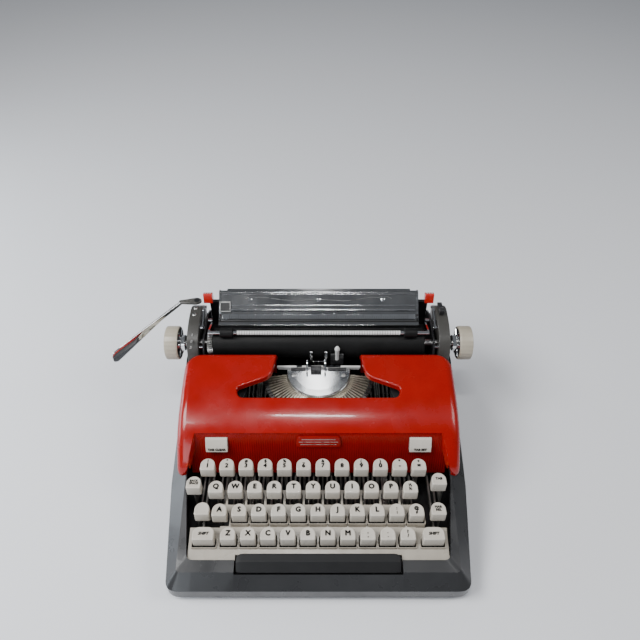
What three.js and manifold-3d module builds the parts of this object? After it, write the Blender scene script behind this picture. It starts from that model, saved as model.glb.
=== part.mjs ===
// A portable manual typewriter, in millimetres, +Z up, +Y away from the typist, +X to the right.
// The layout is drawn from the front edge of the number-row keys (Y = 0) and the table top (Z = 0);
// the last step moves the whole group so that its origin is the bottom centre of its bounding box.
import * as THREE from "three";
import { mergeVertices } from "three/addons/utils/BufferGeometryUtils.js";
import Module from "manifold-3d";

const wasm = await Module();
wasm.setup();

// ---------- driving dimensions ----------
const gap = 0.3; // clearance between pieces that seat on each other
const runGap = 0.4; // radial clearance of a shaft in its hole

// feet and base plate
const footHeight = 8;
const footRadius = 9;
const footX = 112;
const footFrontY = -72;
const footRearY = 158;
const baseThickness = 2;

// lower frame
const frameFrontY = -97;
const frameRearY = 190;
const frameFrontHalf = 144.5; // half width at the front
const frameSideHalf = 150; // half width from the number row back
const frameWall = 2.5;
const cornerRadius = 13;
const apronEdgeZ = 22; // lowest edge of the sloped apron
const apronDepth = 13;
const ledgeZ = 36; // inner ledge at the front of the key well
const ledgeDepth = 11;
const deckSlope = 0.27; // rise of the side decks, per millimetre of depth
const deckDrop = 12; // fall of the side decks from ledge to outer edge
const wellFrontHalf = 125;
const deckWidth = 16; // from the well to the outer side, from the number row back
const wellRearHalf = frameSideHalf - deckWidth;
const wellSideY = 6; // where the well reaches its full width
const carriageWellZ = 82; // top of the frame under the carriage

// keys
const keyPitch = 19.05;
const rowDepth = 20; // row-to-row distance towards the typist
const rowDrop = 8.3; // row-to-row distance down
const numberRowZ = 75; // top of the number-row keys
const capWidth = 14.8;
const capDepth = 13.5;
const capHeight = 13;
const shiftCapWidth = 21;
const rowStarts = [-110, -100.475, -95.7125, -86.1875]; // X of the first key of each row
const rowCounts = [12, 11, 11, 10];
const leverThickness = 1.6;
const leverBottomZ = 26;
const leverHeight = 5;
const stemDepth = 6;
const fulcrumY = 150;
const fulcrumZ = 34;
const fulcrumRadius = 2;
const forkLength = 8;
const forkHalf = 4; // half height of the fork round the shaft
const tieSize = 3; // ties that join levers into a row
const tieZ = 22;
const numberTieY = 118; // each row has its tie at another depth
const upperTieY = 125;
const lowerTieY = 132;
const shiftTieY = 105; // cross bail between the two shift levers
const shiftKeyX = 109.8;
const shiftLeverX = 114;
const homeKeyNames = ["a", "s", "d", "f", "g", "h", "j", "k", "l", "semicolon", "cent"];
const sideKeySpace = 2; // between the caps at the ends of the home row
const shiftLockX = rowStarts[2] - capWidth - sideKeySpace;
const singleKeys = [
  { name: "backspace_key", x: -122.5, frontY: -16, topZ: 68, leverX: -124 },
  { name: "shift_lock_key", x: shiftLockX, frontY: -39, topZ: 59, leverX: -118.6 },
  { name: "tab_key", x: 118.5, frontY: -13, topZ: 69.5, leverX: 124 },
  { name: "margin_release_key", x: 116, frontY: -39, topZ: 59, leverX: 119 },
];

// space bar
const spaceHalf = 77.5;
const spaceRearY = -69.4;
const spaceRidgeY = -77;
const spaceFrontY = -84;
const spaceTopZ = 42;
const spaceBottomZ = 32;
const spaceArmX = [-69.5, 68.6]; // between the levers of the keys
const spaceArmDip = 7; // the arms run lower in front, under the caps of the lower row

// key guard
const guardThickness = 1.5;
const guardFrontZ = 33.5;
const guardRearY = -8;
const guardRearZ = 50;
const keyHoleGap = (keyPitch - capWidth) / 4; // half of the space between two caps stays as web
const keyHoleForward = 0.9; // more room in front, where a pressed cap swings
const notchGap = 2; // round the space bar

// platen
const platenY = 140;
const platenZ = 108;
const platenRadius = 16.5;
const platenHalf = 115;

// top cover
const coverStep = 7.5; // deck left showing outside the cover
const coverHalf = frameSideHalf - coverStep;
const coverToPlaten = 7.5;
const coverRearY = platenY - platenRadius - coverToPlaten;
const coverRearZ = 118;
const coverCrestY = 60;
const coverCrestZ = 108;
const ridgeY = 31;
const ridgeZ = 95;
const armTipY = 4;
const armTipHeight = 5; // height of the arm above the deck at its tip
const coverWall = 2;
const coverCorner = 15;
const coverShoulder = 9; // softened edge along the sides of the roof
const armTopWidth = 20.5; // side arms at the ridge
const armTipWidth = 11.5; // and at their tips
const armInnerTop = coverHalf - armTopWidth;
const armInnerTip = coverHalf - armTipWidth;
const panelBottomY = 17;
const panelBottomZ = 42;
const panelThickness = 2;
const panelTopZ = ridgeZ - 2; // the roof overhangs the panel above this height
const ribPitch = 6;
const ribHeight = 0.8;
const ribEdge = 2; // plain margin at the ends of the ribbed panel
const openingFrontY = 64;
const openingTipY = 74;
const openingNeckY = 90;
const openingHalf = 83;
const openingTaper = 3; // the wings narrow towards the front edge
const neckHalf = 51;
const throatHalf = 45;

// badge and tabulator buttons on the panel
const badgeHalf = 23;
const badgeHeight = 13;
const badgeBottomZ = 78;
const badgeThickness = 1.5;
const buttonToArm = 19.5;
const buttonX = armInnerTop - buttonToArm;
const buttonWidth = 22;
const buttonHeight = 14;
const buttonBottomZ = 74;
const buttonLength = 8; // behind the panel
const buttonProud = 5;
const buttonFace = 5; // height of the upright face at the foot of a button
const buttonSet = 1.5; // top edge in front of the panel

// type basket
const segmentRadius = 34;
const segmentY = 106;
const segmentZ = 94;
const segmentThickness = 6;
const segmentHeel = 4; // straight part behind the half circle
const ringWidth = 5; // ring that carries the roots of the typebars
const typebarCount = 42;
const typebarSpan = 84; // degrees to each side of the centre line
const slugReachX = 56;
const slugReachY = 50;
const slugDrop = 10;
const slugSize = [3, 5]; // across and along the bar
const barWidth = 1.2;
const barHeight = 2.4;

// ribbon
const spoolToCover = 42.5; // from the spool centre to the outer side of the cover
const spoolX = coverHalf - spoolToCover;
const spoolY = 84;
const spoolZ = 88;
const spoolRadius = 24;
const spoolHeight = 9;
const spoolFlange = 1.5;
const spoolRibbon = 6; // wound ribbon stops this far inside the flanges
const bracketReach = 12; // from the spool centre towards the middle
const bracketHalf = 9;
const bracketThickness = 2;
const spoolPostRadius = 2.6;
const vibratorHalf = 9.5;
const vibratorZ = 96;
const vibratorThickness = 1.2;
const vibratorHeight = 20;
const vibratorRim = 2.5; // frame round its window
const vibratorStem = 18; // below the fork
const vibratorToPlaten = 5;

// carriage
const shaftRadius = 4;
const knobInner = 153;
const knobWidth = 14.5;
const knobRadius = 18.6;
const endPlateInner = 124.5;
const endPlateWidth = 18;
const endPlateNose = 4; // in front of the platen
const endPlateFrontY = platenY - platenRadius - endPlateNose;
const endPlateRearY = 190;
const bedBottomZ = 86;
const bedThickness = 5;
const bedFrontY = 158;
const railTopZ = 85.4;
const railFrontY = 162;
const railRearY = 182;
const railHeight = 14;
const railLegX = 122;
const railLegHalf = 5;
const railLegInset = 4; // behind the front of the rail
const railEnd = 6; // beyond the middle of a leg
const bedBack = 4; // upright at the rear of the bed
const bedBackZ = 127;
const endPlateWall = 3;
const endPlateChamfer = 5;
const endPlateRearZ = 118;
const endPlateFrontZ = 108;
const endPlateCrownY = [128, 150, 174]; // corners of its upper edge
const endPlateCrownZ = 132;
const endPlateShoulderZ = 124;
const hubRadius = 9;
const hubLength = 6;
const ratchetRadius = platenRadius - 3.5;
const ratchetWidth = 6.7;
const drumRadius = 20;
const drumWidth = 10;
const drumX = -86;
const drumZ = railTopZ - railHeight - drumRadius - 1;

// paper handling
const tableHalf = 112;
const tableToPlaten = 1.5;
const tableFrontY = platenY + platenRadius + tableToPlaten;
const tableFrontZ = 117;
const tableRearY = 188;
const tableRearZ = 141;
const tableThickness = 2;
const tableLip = 6; // rounded front edge of the table
const tableLipRise = 1.5;
const scaleThickness = 1.5;
const bailArmHalf = 1; // half the thickness of an arm
const bailRadius = 2;
const bailRollerRadius = 5.2;
const bailLean = 14.35; // degrees in front of the platen's crown
const bailClearance = 0.5; // between the rollers and the platen
const bailReach = platenRadius + bailRollerRadius + bailClearance;
const bailY = platenY - bailReach * Math.sin((bailLean * Math.PI) / 180);
const bailZ = platenZ + bailReach * Math.cos((bailLean * Math.PI) / 180);
const bailRollerX = 99;
const bailRollerHalf = 7;
const bailPivotY = 165;
const bailPivotZ = 118;
const bailArmX = 118;
const bailArmDepth = 6;
const scaleInset = 6; // behind the front edge of the table
const scaleY = tableFrontY + scaleInset;
const scaleDepth = 4;
const supportHalf = 104;
const supportDepth = 6;
const supportZ = 136;
const supportThickness = 2;

// return lever
const leverPivot = [-136, 178];
const leverTip = [-213, 98];
const leverFoot = 18; // from the pivot to the bend
const leverTipZ = 119;
const leverPlateZ = 134;
const leverPlateThickness = 3;
const leverDiscRadius = 5.5;
const leverPinRadius = 2;
const leverPinLength = 1.7; // into the end plate's crown
const leverFootFront = 4;
const leverFootRear = 3;
const bladeRootDepth = 5; // height of the blade at the bend
const bladeEnd = 6; // rounded end of the blade

// margin tabs and carriage release, as depth and height
const tabHalf = 5;
const tabSide = [[180, 130], [188, 130], [189, 139], [182, 142]];
const releaseSide = [[158, 133], [176, 133], [176, 136], [166, 137], [160, 142], [156, 141]];
const releaseInset = 8; // from the inner face of the right end plate
const releaseWidth = 5;

// ---------- colours ----------
const finish = (color, roughness, metalness) =>
  new THREE.MeshStandardMaterial({ color, roughness, metalness });
const red = finish(0xb51a05, 0.25, 0);
const darkRed = finish(0x8b0a00, 0.35, 0);
const grey = finish(0x4a4a4a, 0.4, 0);
const cream = finish(0xd0cbc4, 0.4, 0);
const guardCream = finish(0xb9b1a4, 0.45, 0);
const black = finish(0x151515, 0.5, 0);
const darkGrey = finish(0x2e2e2e, 0.4, 0);
const chrome = finish(0xd8dadd, 0.12, 1);
const steel = finish(0x9a9a98, 0.35, 1);
const rubber = finish(0x101010, 0.7, 0);
const knobCream = finish(0xa8a294, 0.45, 0);

// ---------- solids ----------
const solidOf = (geometry) => {
  const bare = geometry.clone();
  bare.deleteAttribute("normal");
  bare.deleteAttribute("uv");
  const merged = mergeVertices(bare, 1e-4);
  const mesh = new wasm.Mesh({
    numProp: 3,
    vertProperties: merged.attributes.position.array,
    triVerts: new Uint32Array(merged.index.array),
  });
  return new wasm.Manifold(mesh);
};

const geometryOf = (solid) => {
  const mesh = solid.getMesh();
  const geometry = new THREE.BufferGeometry();
  geometry.setAttribute("position", new THREE.BufferAttribute(mesh.vertProperties, 3));
  geometry.setIndex(new THREE.BufferAttribute(mesh.triVerts, 1));
  geometry.computeVertexNormals();
  return geometry;
};

const join = (...solids) => solids.reduce((sum, next) => sum.add(next));
const cut = (solid, ...tools) => tools.reduce((rest, tool) => rest.subtract(tool), solid);

// box between two corners
const box = (x0, x1, y0, y1, z0, z1) => {
  const geometry = new THREE.BoxGeometry(x1 - x0, y1 - y0, z1 - z0);
  geometry.translate((x0 + x1) / 2, (y0 + y1) / 2, (z0 + z1) / 2);
  return solidOf(geometry);
};

const shapeOf = (points) => new THREE.Shape(points.map(([a, b]) => new THREE.Vector2(a, b)));

const extrude = (shape, depth, curveSegments = 6) =>
  new THREE.ExtrudeGeometry(shape, { depth, bevelEnabled: false, curveSegments });

// outline in (Y, Z), extruded along X from x0 to x1
const alongX = (points, x0, x1) => {
  const geometry = extrude(shapeOf(points), x1 - x0);
  geometry.applyMatrix4(new THREE.Matrix4().set(0, 0, 1, x0, 1, 0, 0, 0, 0, 1, 0, 0, 0, 0, 0, 1));
  return solidOf(geometry);
};

// outline in (X, Z), extruded along Y from y0 to y1, climbing by slope per millimetre
const alongY = (points, y0, y1, slope = 0) => {
  const geometry = extrude(shapeOf(points.map(([x, z]) => [-x, z])), y1 - y0);
  geometry.applyMatrix4(
    new THREE.Matrix4().set(-1, 0, 0, 0, 0, 0, 1, y0, 0, 1, slope, slope * y0, 0, 0, 0, 1),
  );
  return solidOf(geometry);
};

// outline in (X, Y), extruded along Z from z0 to z1
const alongZ = (shape, z0, z1, curveSegments) => {
  const geometry = extrude(shape, z1 - z0, curveSegments);
  geometry.translate(0, 0, z0);
  return solidOf(geometry);
};

const cylinderX = (radius, x0, x1, y, z, sides = 24) => {
  const geometry = new THREE.CylinderGeometry(radius, radius, x1 - x0, sides);
  geometry.rotateZ(Math.PI / 2);
  geometry.translate((x0 + x1) / 2, y, z);
  return solidOf(geometry);
};

const cylinderY = (radius, y0, y1, x, z, sides = 24) => {
  const geometry = new THREE.CylinderGeometry(radius, radius, y1 - y0, sides);
  geometry.translate(x, (y0 + y1) / 2, z);
  return solidOf(geometry);
};

const cylinderZ = (radius, z0, z1, x, y, sides = 24) => {
  const geometry = new THREE.CylinderGeometry(radius, radius, z1 - z0, sides);
  geometry.rotateX(Math.PI / 2);
  geometry.translate(x, y, (z0 + z1) / 2);
  return solidOf(geometry);
};

const typewriter = new THREE.Group();
const addPart = (name, solid, material) => {
  const mesh = new THREE.Mesh(geometryOf(solid), material);
  mesh.name = name;
  typewriter.add(mesh);
};

// ---------- base plate and feet ----------
const baseBottomZ = footHeight + gap;
const baseTopZ = baseBottomZ + baseThickness;
const frameBottomZ = baseTopZ + gap;

const addBase = () => {
  addPart("base_plate", alongZ(frameOutline(gap), baseBottomZ, baseTopZ), black);
  const corners = [
    ["front_left", -footX, footFrontY],
    ["front_right", footX, footFrontY],
    ["rear_left", -footX, footRearY],
    ["rear_right", footX, footRearY],
  ];
  for (const [place, x, y] of corners) {
    addPart(`foot_${place}`, cylinderZ(footRadius, 0, footHeight, x, y, 16), rubber);
  }
};

// ---------- lower frame ----------
const deckZ = (y) => ledgeZ + deckSlope * (y - frameFrontY - apronDepth - ledgeDepth);

// plan outline of the frame, drawn in by inset
const frameOutline = (inset) => {
  const front = frameFrontY + inset;
  const rear = frameRearY - inset;
  const frontHalf = frameFrontHalf - inset;
  const sideHalf = frameSideHalf - inset;
  const r = cornerRadius - inset;
  const shape = new THREE.Shape();
  shape.moveTo(-frontHalf + r, front);
  shape.lineTo(frontHalf - r, front);
  shape.quadraticCurveTo(frontHalf, front, frontHalf + 0.3, front + r);
  shape.lineTo(sideHalf, 0);
  shape.lineTo(sideHalf, rear);
  shape.lineTo(-sideHalf, rear);
  shape.lineTo(-sideHalf, 0);
  shape.lineTo(-frontHalf - 0.3, front + r);
  shape.quadraticCurveTo(-frontHalf, front, -frontHalf + r, front);
  return shape;
};

// everything under the sloped decks, lowered by inset
const underDecks = (inset) => {
  const outer = frameSideHalf + 1;
  const inner = wellRearHalf;
  const base = deckZ(0) - inset;
  const roof = [
    [-outer, -200],
    [outer, -200],
    [outer, base - deckDrop],
    [inner, base],
    [-inner, base],
    [-outer, base - deckDrop],
  ];
  return alongY(roof, frameFrontY - 5, frameRearY + 5, deckSlope);
};

const frameSide = (inset) => [
  [frameFrontY, frameBottomZ - (inset ? 5 : 0)],
  [frameFrontY, apronEdgeZ - inset],
  [frameFrontY + apronDepth, ledgeZ - 2 - inset],
  [frameFrontY + apronDepth + ledgeDepth, ledgeZ - inset],
  [coverRearY + 1, deckZ(coverRearY + 1) - inset],
  [coverRearY + 3, carriageWellZ - inset],
  [frameRearY, carriageWellZ - inset],
  [frameRearY, frameBottomZ - (inset ? 5 : 0)],
];

const wellOutline = () => {
  const front = frameFrontY + apronDepth + ledgeDepth;
  return shapeOf([
    [-wellFrontHalf, front],
    [wellFrontHalf, front],
    [wellRearHalf, wellSideY],
    [wellRearHalf, frameRearY - frameWall],
    [-wellRearHalf, frameRearY - frameWall],
    [-wellRearHalf, wellSideY],
  ]);
};

const addFrame = () => {
  const low = 0;
  const high = 140;
  const side = frameSideHalf + 5;
  const outer = alongX(frameSide(0), -side, side)
    .intersect(alongZ(frameOutline(0), low, high))
    .intersect(underDecks(0));
  const inner = alongX(frameSide(frameWall), -side, side)
    .intersect(alongZ(frameOutline(frameWall), low, high))
    .intersect(underDecks(frameWall));
  const notchHalf = spaceHalf + notchGap;
  const notch = box(-notchHalf, notchHalf, spaceFrontY - 1.5, spaceRearY + 10, spaceBottomZ - 10, high);
  const frame = cut(outer, inner, alongZ(wellOutline(), low, high), notch);
  addPart("lower_frame", frame, grey);
};

// ---------- key guard ----------
// a cap seen from above: flat front, half-round rear
const capOutline = (width, depth, grow = 0, forward = 0) => {
  const half = width / 2 + grow;
  const radius = Math.min(width / 2, depth - 3) + grow;
  const rearStraight = depth + grow - radius;
  const shape = new THREE.Shape();
  shape.moveTo(-half, -grow - forward);
  shape.lineTo(half, -grow - forward);
  shape.lineTo(half, rearStraight);
  shape.absarc(half - radius, rearStraight, radius, 0, Math.PI / 2, false);
  shape.absarc(-half + radius, rearStraight, radius, Math.PI / 2, Math.PI, false);
  return shape;
};

const rowFrontY = (row) => -rowDepth * row;
const rowTopZ = (row) => numberRowZ - rowDrop * row;
const keyX = (row, index) => rowStarts[row] + keyPitch * index;

const prismAt = (shape, x, y, z0, z1, curveSegments = 6) =>
  alongZ(shape, z0, z1, curveSegments).translate([x, y, 0]);

const addGuard = () => {
  const frontY = frameFrontY + apronDepth + ledgeDepth + gap;
  const profile = [
    [frontY, guardFrontZ - guardThickness],
    [guardRearY, guardRearZ - guardThickness],
    [guardRearY, guardRearZ],
    [frontY, guardFrontZ],
  ];
  const half = wellFrontHalf - gap;
  const [low, high] = [guardFrontZ - 2 * guardThickness, guardRearZ + guardThickness];
  let guard = alongX(profile, -half, half);
  const hole = capOutline(capWidth, capDepth, keyHoleGap, keyHoleForward);
  for (const row of [1, 2, 3]) {
    for (let i = 0; i < rowCounts[row]; i += 1) {
      guard = guard.subtract(prismAt(hole, keyX(row, i), rowFrontY(row), low, high, 3));
    }
  }
  const shiftHole = capOutline(shiftCapWidth, capDepth, keyHoleGap, keyHoleForward);
  const lastHomeKey = keyX(2, rowCounts[2] - 1);
  const sideCutFront = rowFrontY(3) + capDepth + 3 * keyHoleGap;
  for (const side of [-1, 1]) {
    guard = guard.subtract(prismAt(shiftHole, side * shiftKeyX, rowFrontY(3), low, high, 3));
  }
  const notchHalf = spaceHalf + notchGap;
  guard = cut(
    guard,
    box(-half - 1, rowStarts[2], sideCutFront, guardRearY + 1, low, high),
    box(lastHomeKey, half + 1, sideCutFront, guardRearY + 1, low, high),
    box(-notchHalf, notchHalf, frontY - 1, spaceRearY + notchGap, low, high),
  );
  addPart("key_guard", guard, guardCream);
};

// ---------- keys ----------
// a key lever with its stem, seen from the side; the rear end is a fork round the fulcrum shaft
const leverProfile = (stemY, capBottomZ) => {
  const front = stemY - stemDepth / 2;
  const back = stemY + stemDepth / 2;
  const top = leverBottomZ + leverHeight;
  const r = fulcrumRadius + runGap;
  return [
    [front, leverBottomZ],
    [fulcrumY - forkLength, fulcrumZ - forkHalf],
    [fulcrumY + r, fulcrumZ - forkHalf],
    [fulcrumY + r, fulcrumZ - r],
    [fulcrumY, fulcrumZ - r],
    [fulcrumY - 0.7 * r, fulcrumZ - 0.7 * r],
    [fulcrumY - r, fulcrumZ],
    [fulcrumY - 0.7 * r, fulcrumZ + 0.7 * r],
    [fulcrumY, fulcrumZ + r],
    [fulcrumY + r, fulcrumZ + r],
    [fulcrumY + r, fulcrumZ + forkHalf],
    [fulcrumY - forkLength, fulcrumZ + forkHalf],
    [back, top],
    [back, capBottomZ + 1],
    [front, capBottomZ + 1],
  ];
};

const lever = (x, stemY, capBottomZ) =>
  alongX(leverProfile(stemY, capBottomZ), x - leverThickness / 2, x + leverThickness / 2);

const cap = (width, x, frontY, topZ) =>
  prismAt(capOutline(width, capDepth), x, frontY, topZ - capHeight, topZ, 5);

// one key: cap, stem and lever in one piece
const key = (capX, frontY, topZ, leverX = capX, width = capWidth) =>
  join(cap(width, capX, frontY, topZ), lever(leverX, frontY + capDepth / 2, topZ - capHeight));

const rowKey = (row, index) => key(keyX(row, index), rowFrontY(row), rowTopZ(row));

// a row whose levers are tied together under their rear ends
const addKeyRow = (name, row, tieY) => {
  const keys = [];
  const lastX = keyX(row, rowCounts[row] - 1);
  const side = leverThickness / 2;
  const forkLow = fulcrumZ - forkHalf + 1;
  for (let i = 0; i < rowCounts[row]; i += 1) {
    const x = keyX(row, i);
    keys.push(rowKey(row, i));
    keys.push(box(x - side, x + side, tieY, tieY + tieSize, tieZ, forkLow));
  }
  const tie = box(rowStarts[row] - side, lastX + side, tieY, tieY + tieSize, tieZ, tieZ + tieSize);
  addPart(name, join(tie, ...keys), cream);
};

// an arm of the space bar: low in front, then up to the height of the other levers
const spaceArm = (x) => {
  const [left, right] = [x - leverThickness / 2, x + leverThickness / 2];
  const front = spaceRearY - 1.5 * stemDepth;
  const riserY = rowFrontY(3) + capDepth + stemDepth;
  const bottom = leverBottomZ - spaceArmDip;
  const top = leverBottomZ + leverHeight;
  return join(
    lever(x, riserY, top),
    box(left, right, riserY - stemDepth / 2, riserY + stemDepth / 2, bottom, top),
    box(left, right, front, riserY, bottom, bottom + leverHeight),
    box(left, right, front, front + stemDepth, bottom, spaceBottomZ + 1),
  );
};

const addKeys = () => {
  addKeyRow("number_row_keys", 0, numberTieY);
  addKeyRow("upper_row_keys", 1, upperTieY);
  addKeyRow("lower_row_keys", 3, lowerTieY);
  homeKeyNames.forEach((name, i) => addPart(`key_${name}`, rowKey(2, i), cream));
  for (const { name, x, frontY, topZ, leverX } of singleKeys) {
    addPart(name, key(x, frontY, topZ, leverX), cream);
  }

  const shiftTop = rowTopZ(3);
  const shifts = [];
  for (const side of [-1, 1]) {
    const leverX = side * shiftLeverX;
    shifts.push(key(side * shiftKeyX, rowFrontY(3), shiftTop, leverX, shiftCapWidth));
    const half = leverThickness / 2;
    shifts.push(
      box(leverX - half, leverX + half, shiftTieY, shiftTieY + tieSize, tieZ, leverBottomZ + leverHeight),
    );
  }
  shifts.push(box(-shiftLeverX, shiftLeverX, shiftTieY, shiftTieY + tieSize, tieZ, tieZ + tieSize));
  addPart("shift_keys", join(...shifts), cream);

  const barProfile = [
    [spaceFrontY, spaceBottomZ],
    [spaceRearY, spaceBottomZ],
    [spaceRearY, spaceTopZ],
    [spaceRidgeY, spaceTopZ - 0.5],
    [spaceFrontY + 0.6, spaceBottomZ + 2],
  ];
  addPart("space_bar", join(alongX(barProfile, -spaceHalf, spaceHalf), ...spaceArmX.map(spaceArm)), darkGrey);

  const shaftHalf = frameSideHalf - frameWall - gap;
  addPart(
    "key_fulcrum_shaft",
    cylinderX(fulcrumRadius, -shaftHalf, shaftHalf, fulcrumY, fulcrumZ, 12),
    steel,
  );
};

// ---------- top cover ----------
// side outline of the cover; its lower edge runs along the decks, its nose is the tip of the side arms
const coverSide = (inset) => [
  [coverRearY - inset, deckZ(coverRearY) + gap - 8 * inset],
  [coverRearY - inset, coverRearZ - inset],
  [coverCrestY + 22, coverCrestZ + 5 - inset],
  [coverCrestY, coverCrestZ - inset],
  [coverCrestY - 15, coverCrestZ - 5 - inset],
  [ridgeY + 0.5 * inset, ridgeZ - inset],
  [ridgeY - 10 + inset, ridgeZ - 12],
  [armTipY + inset, deckZ(armTipY) + gap + armTipHeight],
  [armTipY + inset, deckZ(armTipY) + gap - 8 * inset],
];

const coverOutline = (inset) => {
  const half = coverHalf - inset;
  const rear = coverRearY - inset;
  const r = coverCorner - inset;
  const shape = new THREE.Shape();
  shape.moveTo(-half, armTipY - 1 + inset);
  shape.lineTo(half, armTipY - 1 + inset);
  shape.lineTo(half, rear - r);
  shape.absarc(half - r, rear - r, r, 0, Math.PI / 2, false);
  shape.absarc(-half + r, rear - r, r, Math.PI / 2, Math.PI, false);
  return shape;
};

// cross section with softened shoulders, following the rise of the roof
const coverShoulders = (inset) => {
  const half = coverHalf - inset;
  const top = coverRearZ - inset;
  const soft = coverShoulder;
  const rise = (coverRearZ - coverCrestZ) / (coverRearY - coverCrestY);
  const section = [
    [-half, -100],
    [half, -100],
    [half, top - soft],
    [half - 0.3 * soft, top - 0.3 * soft],
    [half - soft, top],
    [-half + soft, top],
    [-half + 0.3 * soft, top - 0.3 * soft],
    [-half, top - soft],
  ];
  return alongY(section, armTipY - 5, coverRearY + 5, rise).translate([0, 0, -rise * coverRearY]);
};

const coverSolid = (inset) =>
  alongX(coverSide(inset), -coverHalf - 2, coverHalf + 2)
    .intersect(alongZ(coverOutline(inset), 0, 200, 5))
    .intersect(coverShoulders(inset));

// the type-basket opening: a throat at the rear that flares to two pointed wings
const basketOpening = () =>
  shapeOf([
    [-openingHalf + openingTaper, openingFrontY],
    [openingHalf - openingTaper, openingFrontY],
    [openingHalf, openingTipY],
    [neckHalf, openingNeckY],
    [throatHalf, coverRearY + 5],
    [-throatHalf, coverRearY + 5],
    [-neckHalf, openingNeckY],
    [-openingHalf, openingTipY],
  ]);

// outward offset of the panel plane at a height
const panelY = (z) => panelBottomY + ((ridgeY - panelBottomY) * (z - panelBottomZ)) / (ridgeZ - panelBottomZ);

// the plan between the side arms, drawn in by inset
const armGap = (inset) =>
  shapeOf([
    [-armInnerTip + inset, 0],
    [armInnerTip - inset, 0],
    [armInnerTop - inset, ridgeY + 8],
    [-armInnerTop + inset, ridgeY + 8],
  ]);

const addCover = () => {
  const far = -20;
  const recess = alongX(
    [
      [far, 0],
      [panelY(0) + panelThickness + gap, 0],
      [panelY(panelTopZ) + panelThickness + gap, panelTopZ],
      [far, panelTopZ],
    ],
    -coverHalf - 5,
    coverHalf + 5,
  );
  const opening = alongZ(basketOpening(), 90, 200);
  const cover = cut(
    coverSolid(0),
    coverSolid(coverWall),
    recess.intersect(alongZ(armGap(0), 0, 200)),
    opening,
  );
  addPart("top_cover", cover, red);
};

// ribbed panel: a sheet with upright ribs, leaning back between the side arms
const addPanel = () => {
  const lowZ = panelBottomZ;
  const highZ = panelTopZ - gap;
  const slope = (panelY(highZ) - panelY(lowZ)) / (highZ - lowZ);
  const half = armInnerTip;
  const ribs = Math.floor((2 * half - 2 * ribEdge) / ribPitch);
  const outline = [[-half, 0]];
  for (let i = 0; i < ribs; i += 1) {
    const x = -half + ribEdge + i * ribPitch;
    outline.push([x, 0], [x + ribPitch * 0.3, -ribHeight], [x + ribPitch * 0.7, -ribHeight]);
  }
  outline.push([half, 0], [half, panelThickness], [-half, panelThickness]);
  const geometry = extrude(shapeOf(outline), highZ - lowZ);
  geometry.applyMatrix4(
    new THREE.Matrix4().set(1, 0, 0, 0, 0, 1, slope, panelY(lowZ), 0, 0, 1, lowZ, 0, 0, 0, 1),
  );
  const slotHalf = buttonWidth / 2 + gap;
  const slots = [-1, 1].map((side) =>
    box(
      side * buttonX - slotHalf,
      side * buttonX + slotHalf,
      0,
      ridgeY + 10,
      buttonBottomZ - gap,
      buttonBottomZ + buttonHeight + gap,
    ),
  );
  const between = alongZ(armGap(gap), 0, ridgeZ);
  addPart("ribbed_panel", cut(solidOf(geometry), ...slots).intersect(between), darkRed);

  const badgeFront = panelY(badgeBottomZ) - ribHeight - gap - badgeThickness;
  const badge = alongX(
    [
      [badgeFront, badgeBottomZ],
      [badgeFront + badgeThickness, badgeBottomZ],
      [badgeFront + badgeThickness + slope * badgeHeight, badgeBottomZ + badgeHeight],
      [badgeFront + slope * badgeHeight, badgeBottomZ + badgeHeight],
    ],
    -badgeHalf,
    badgeHalf,
  );
  addPart("badge_plate", badge, darkRed);

  // the buttons pass through the panel and slide back along +Y
  for (const [name, side] of [["tab_clear_button", -1], ["tab_set_button", 1]]) {
    const x = side * buttonX;
    const top = buttonBottomZ + buttonHeight;
    const faceTop = buttonBottomZ + buttonFace;
    const button = alongX(
      [
        [panelY(buttonBottomZ) - buttonProud, buttonBottomZ],
        [panelY(top) + buttonLength, buttonBottomZ],
        [panelY(top) + buttonLength, top],
        [panelY(top) - buttonSet, top],
        [panelY(faceTop) - buttonProud - 0.5, faceTop],
      ],
      x - buttonWidth / 2,
      x + buttonWidth / 2,
    );
    addPart(name, button, cream);
  }
};

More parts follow.
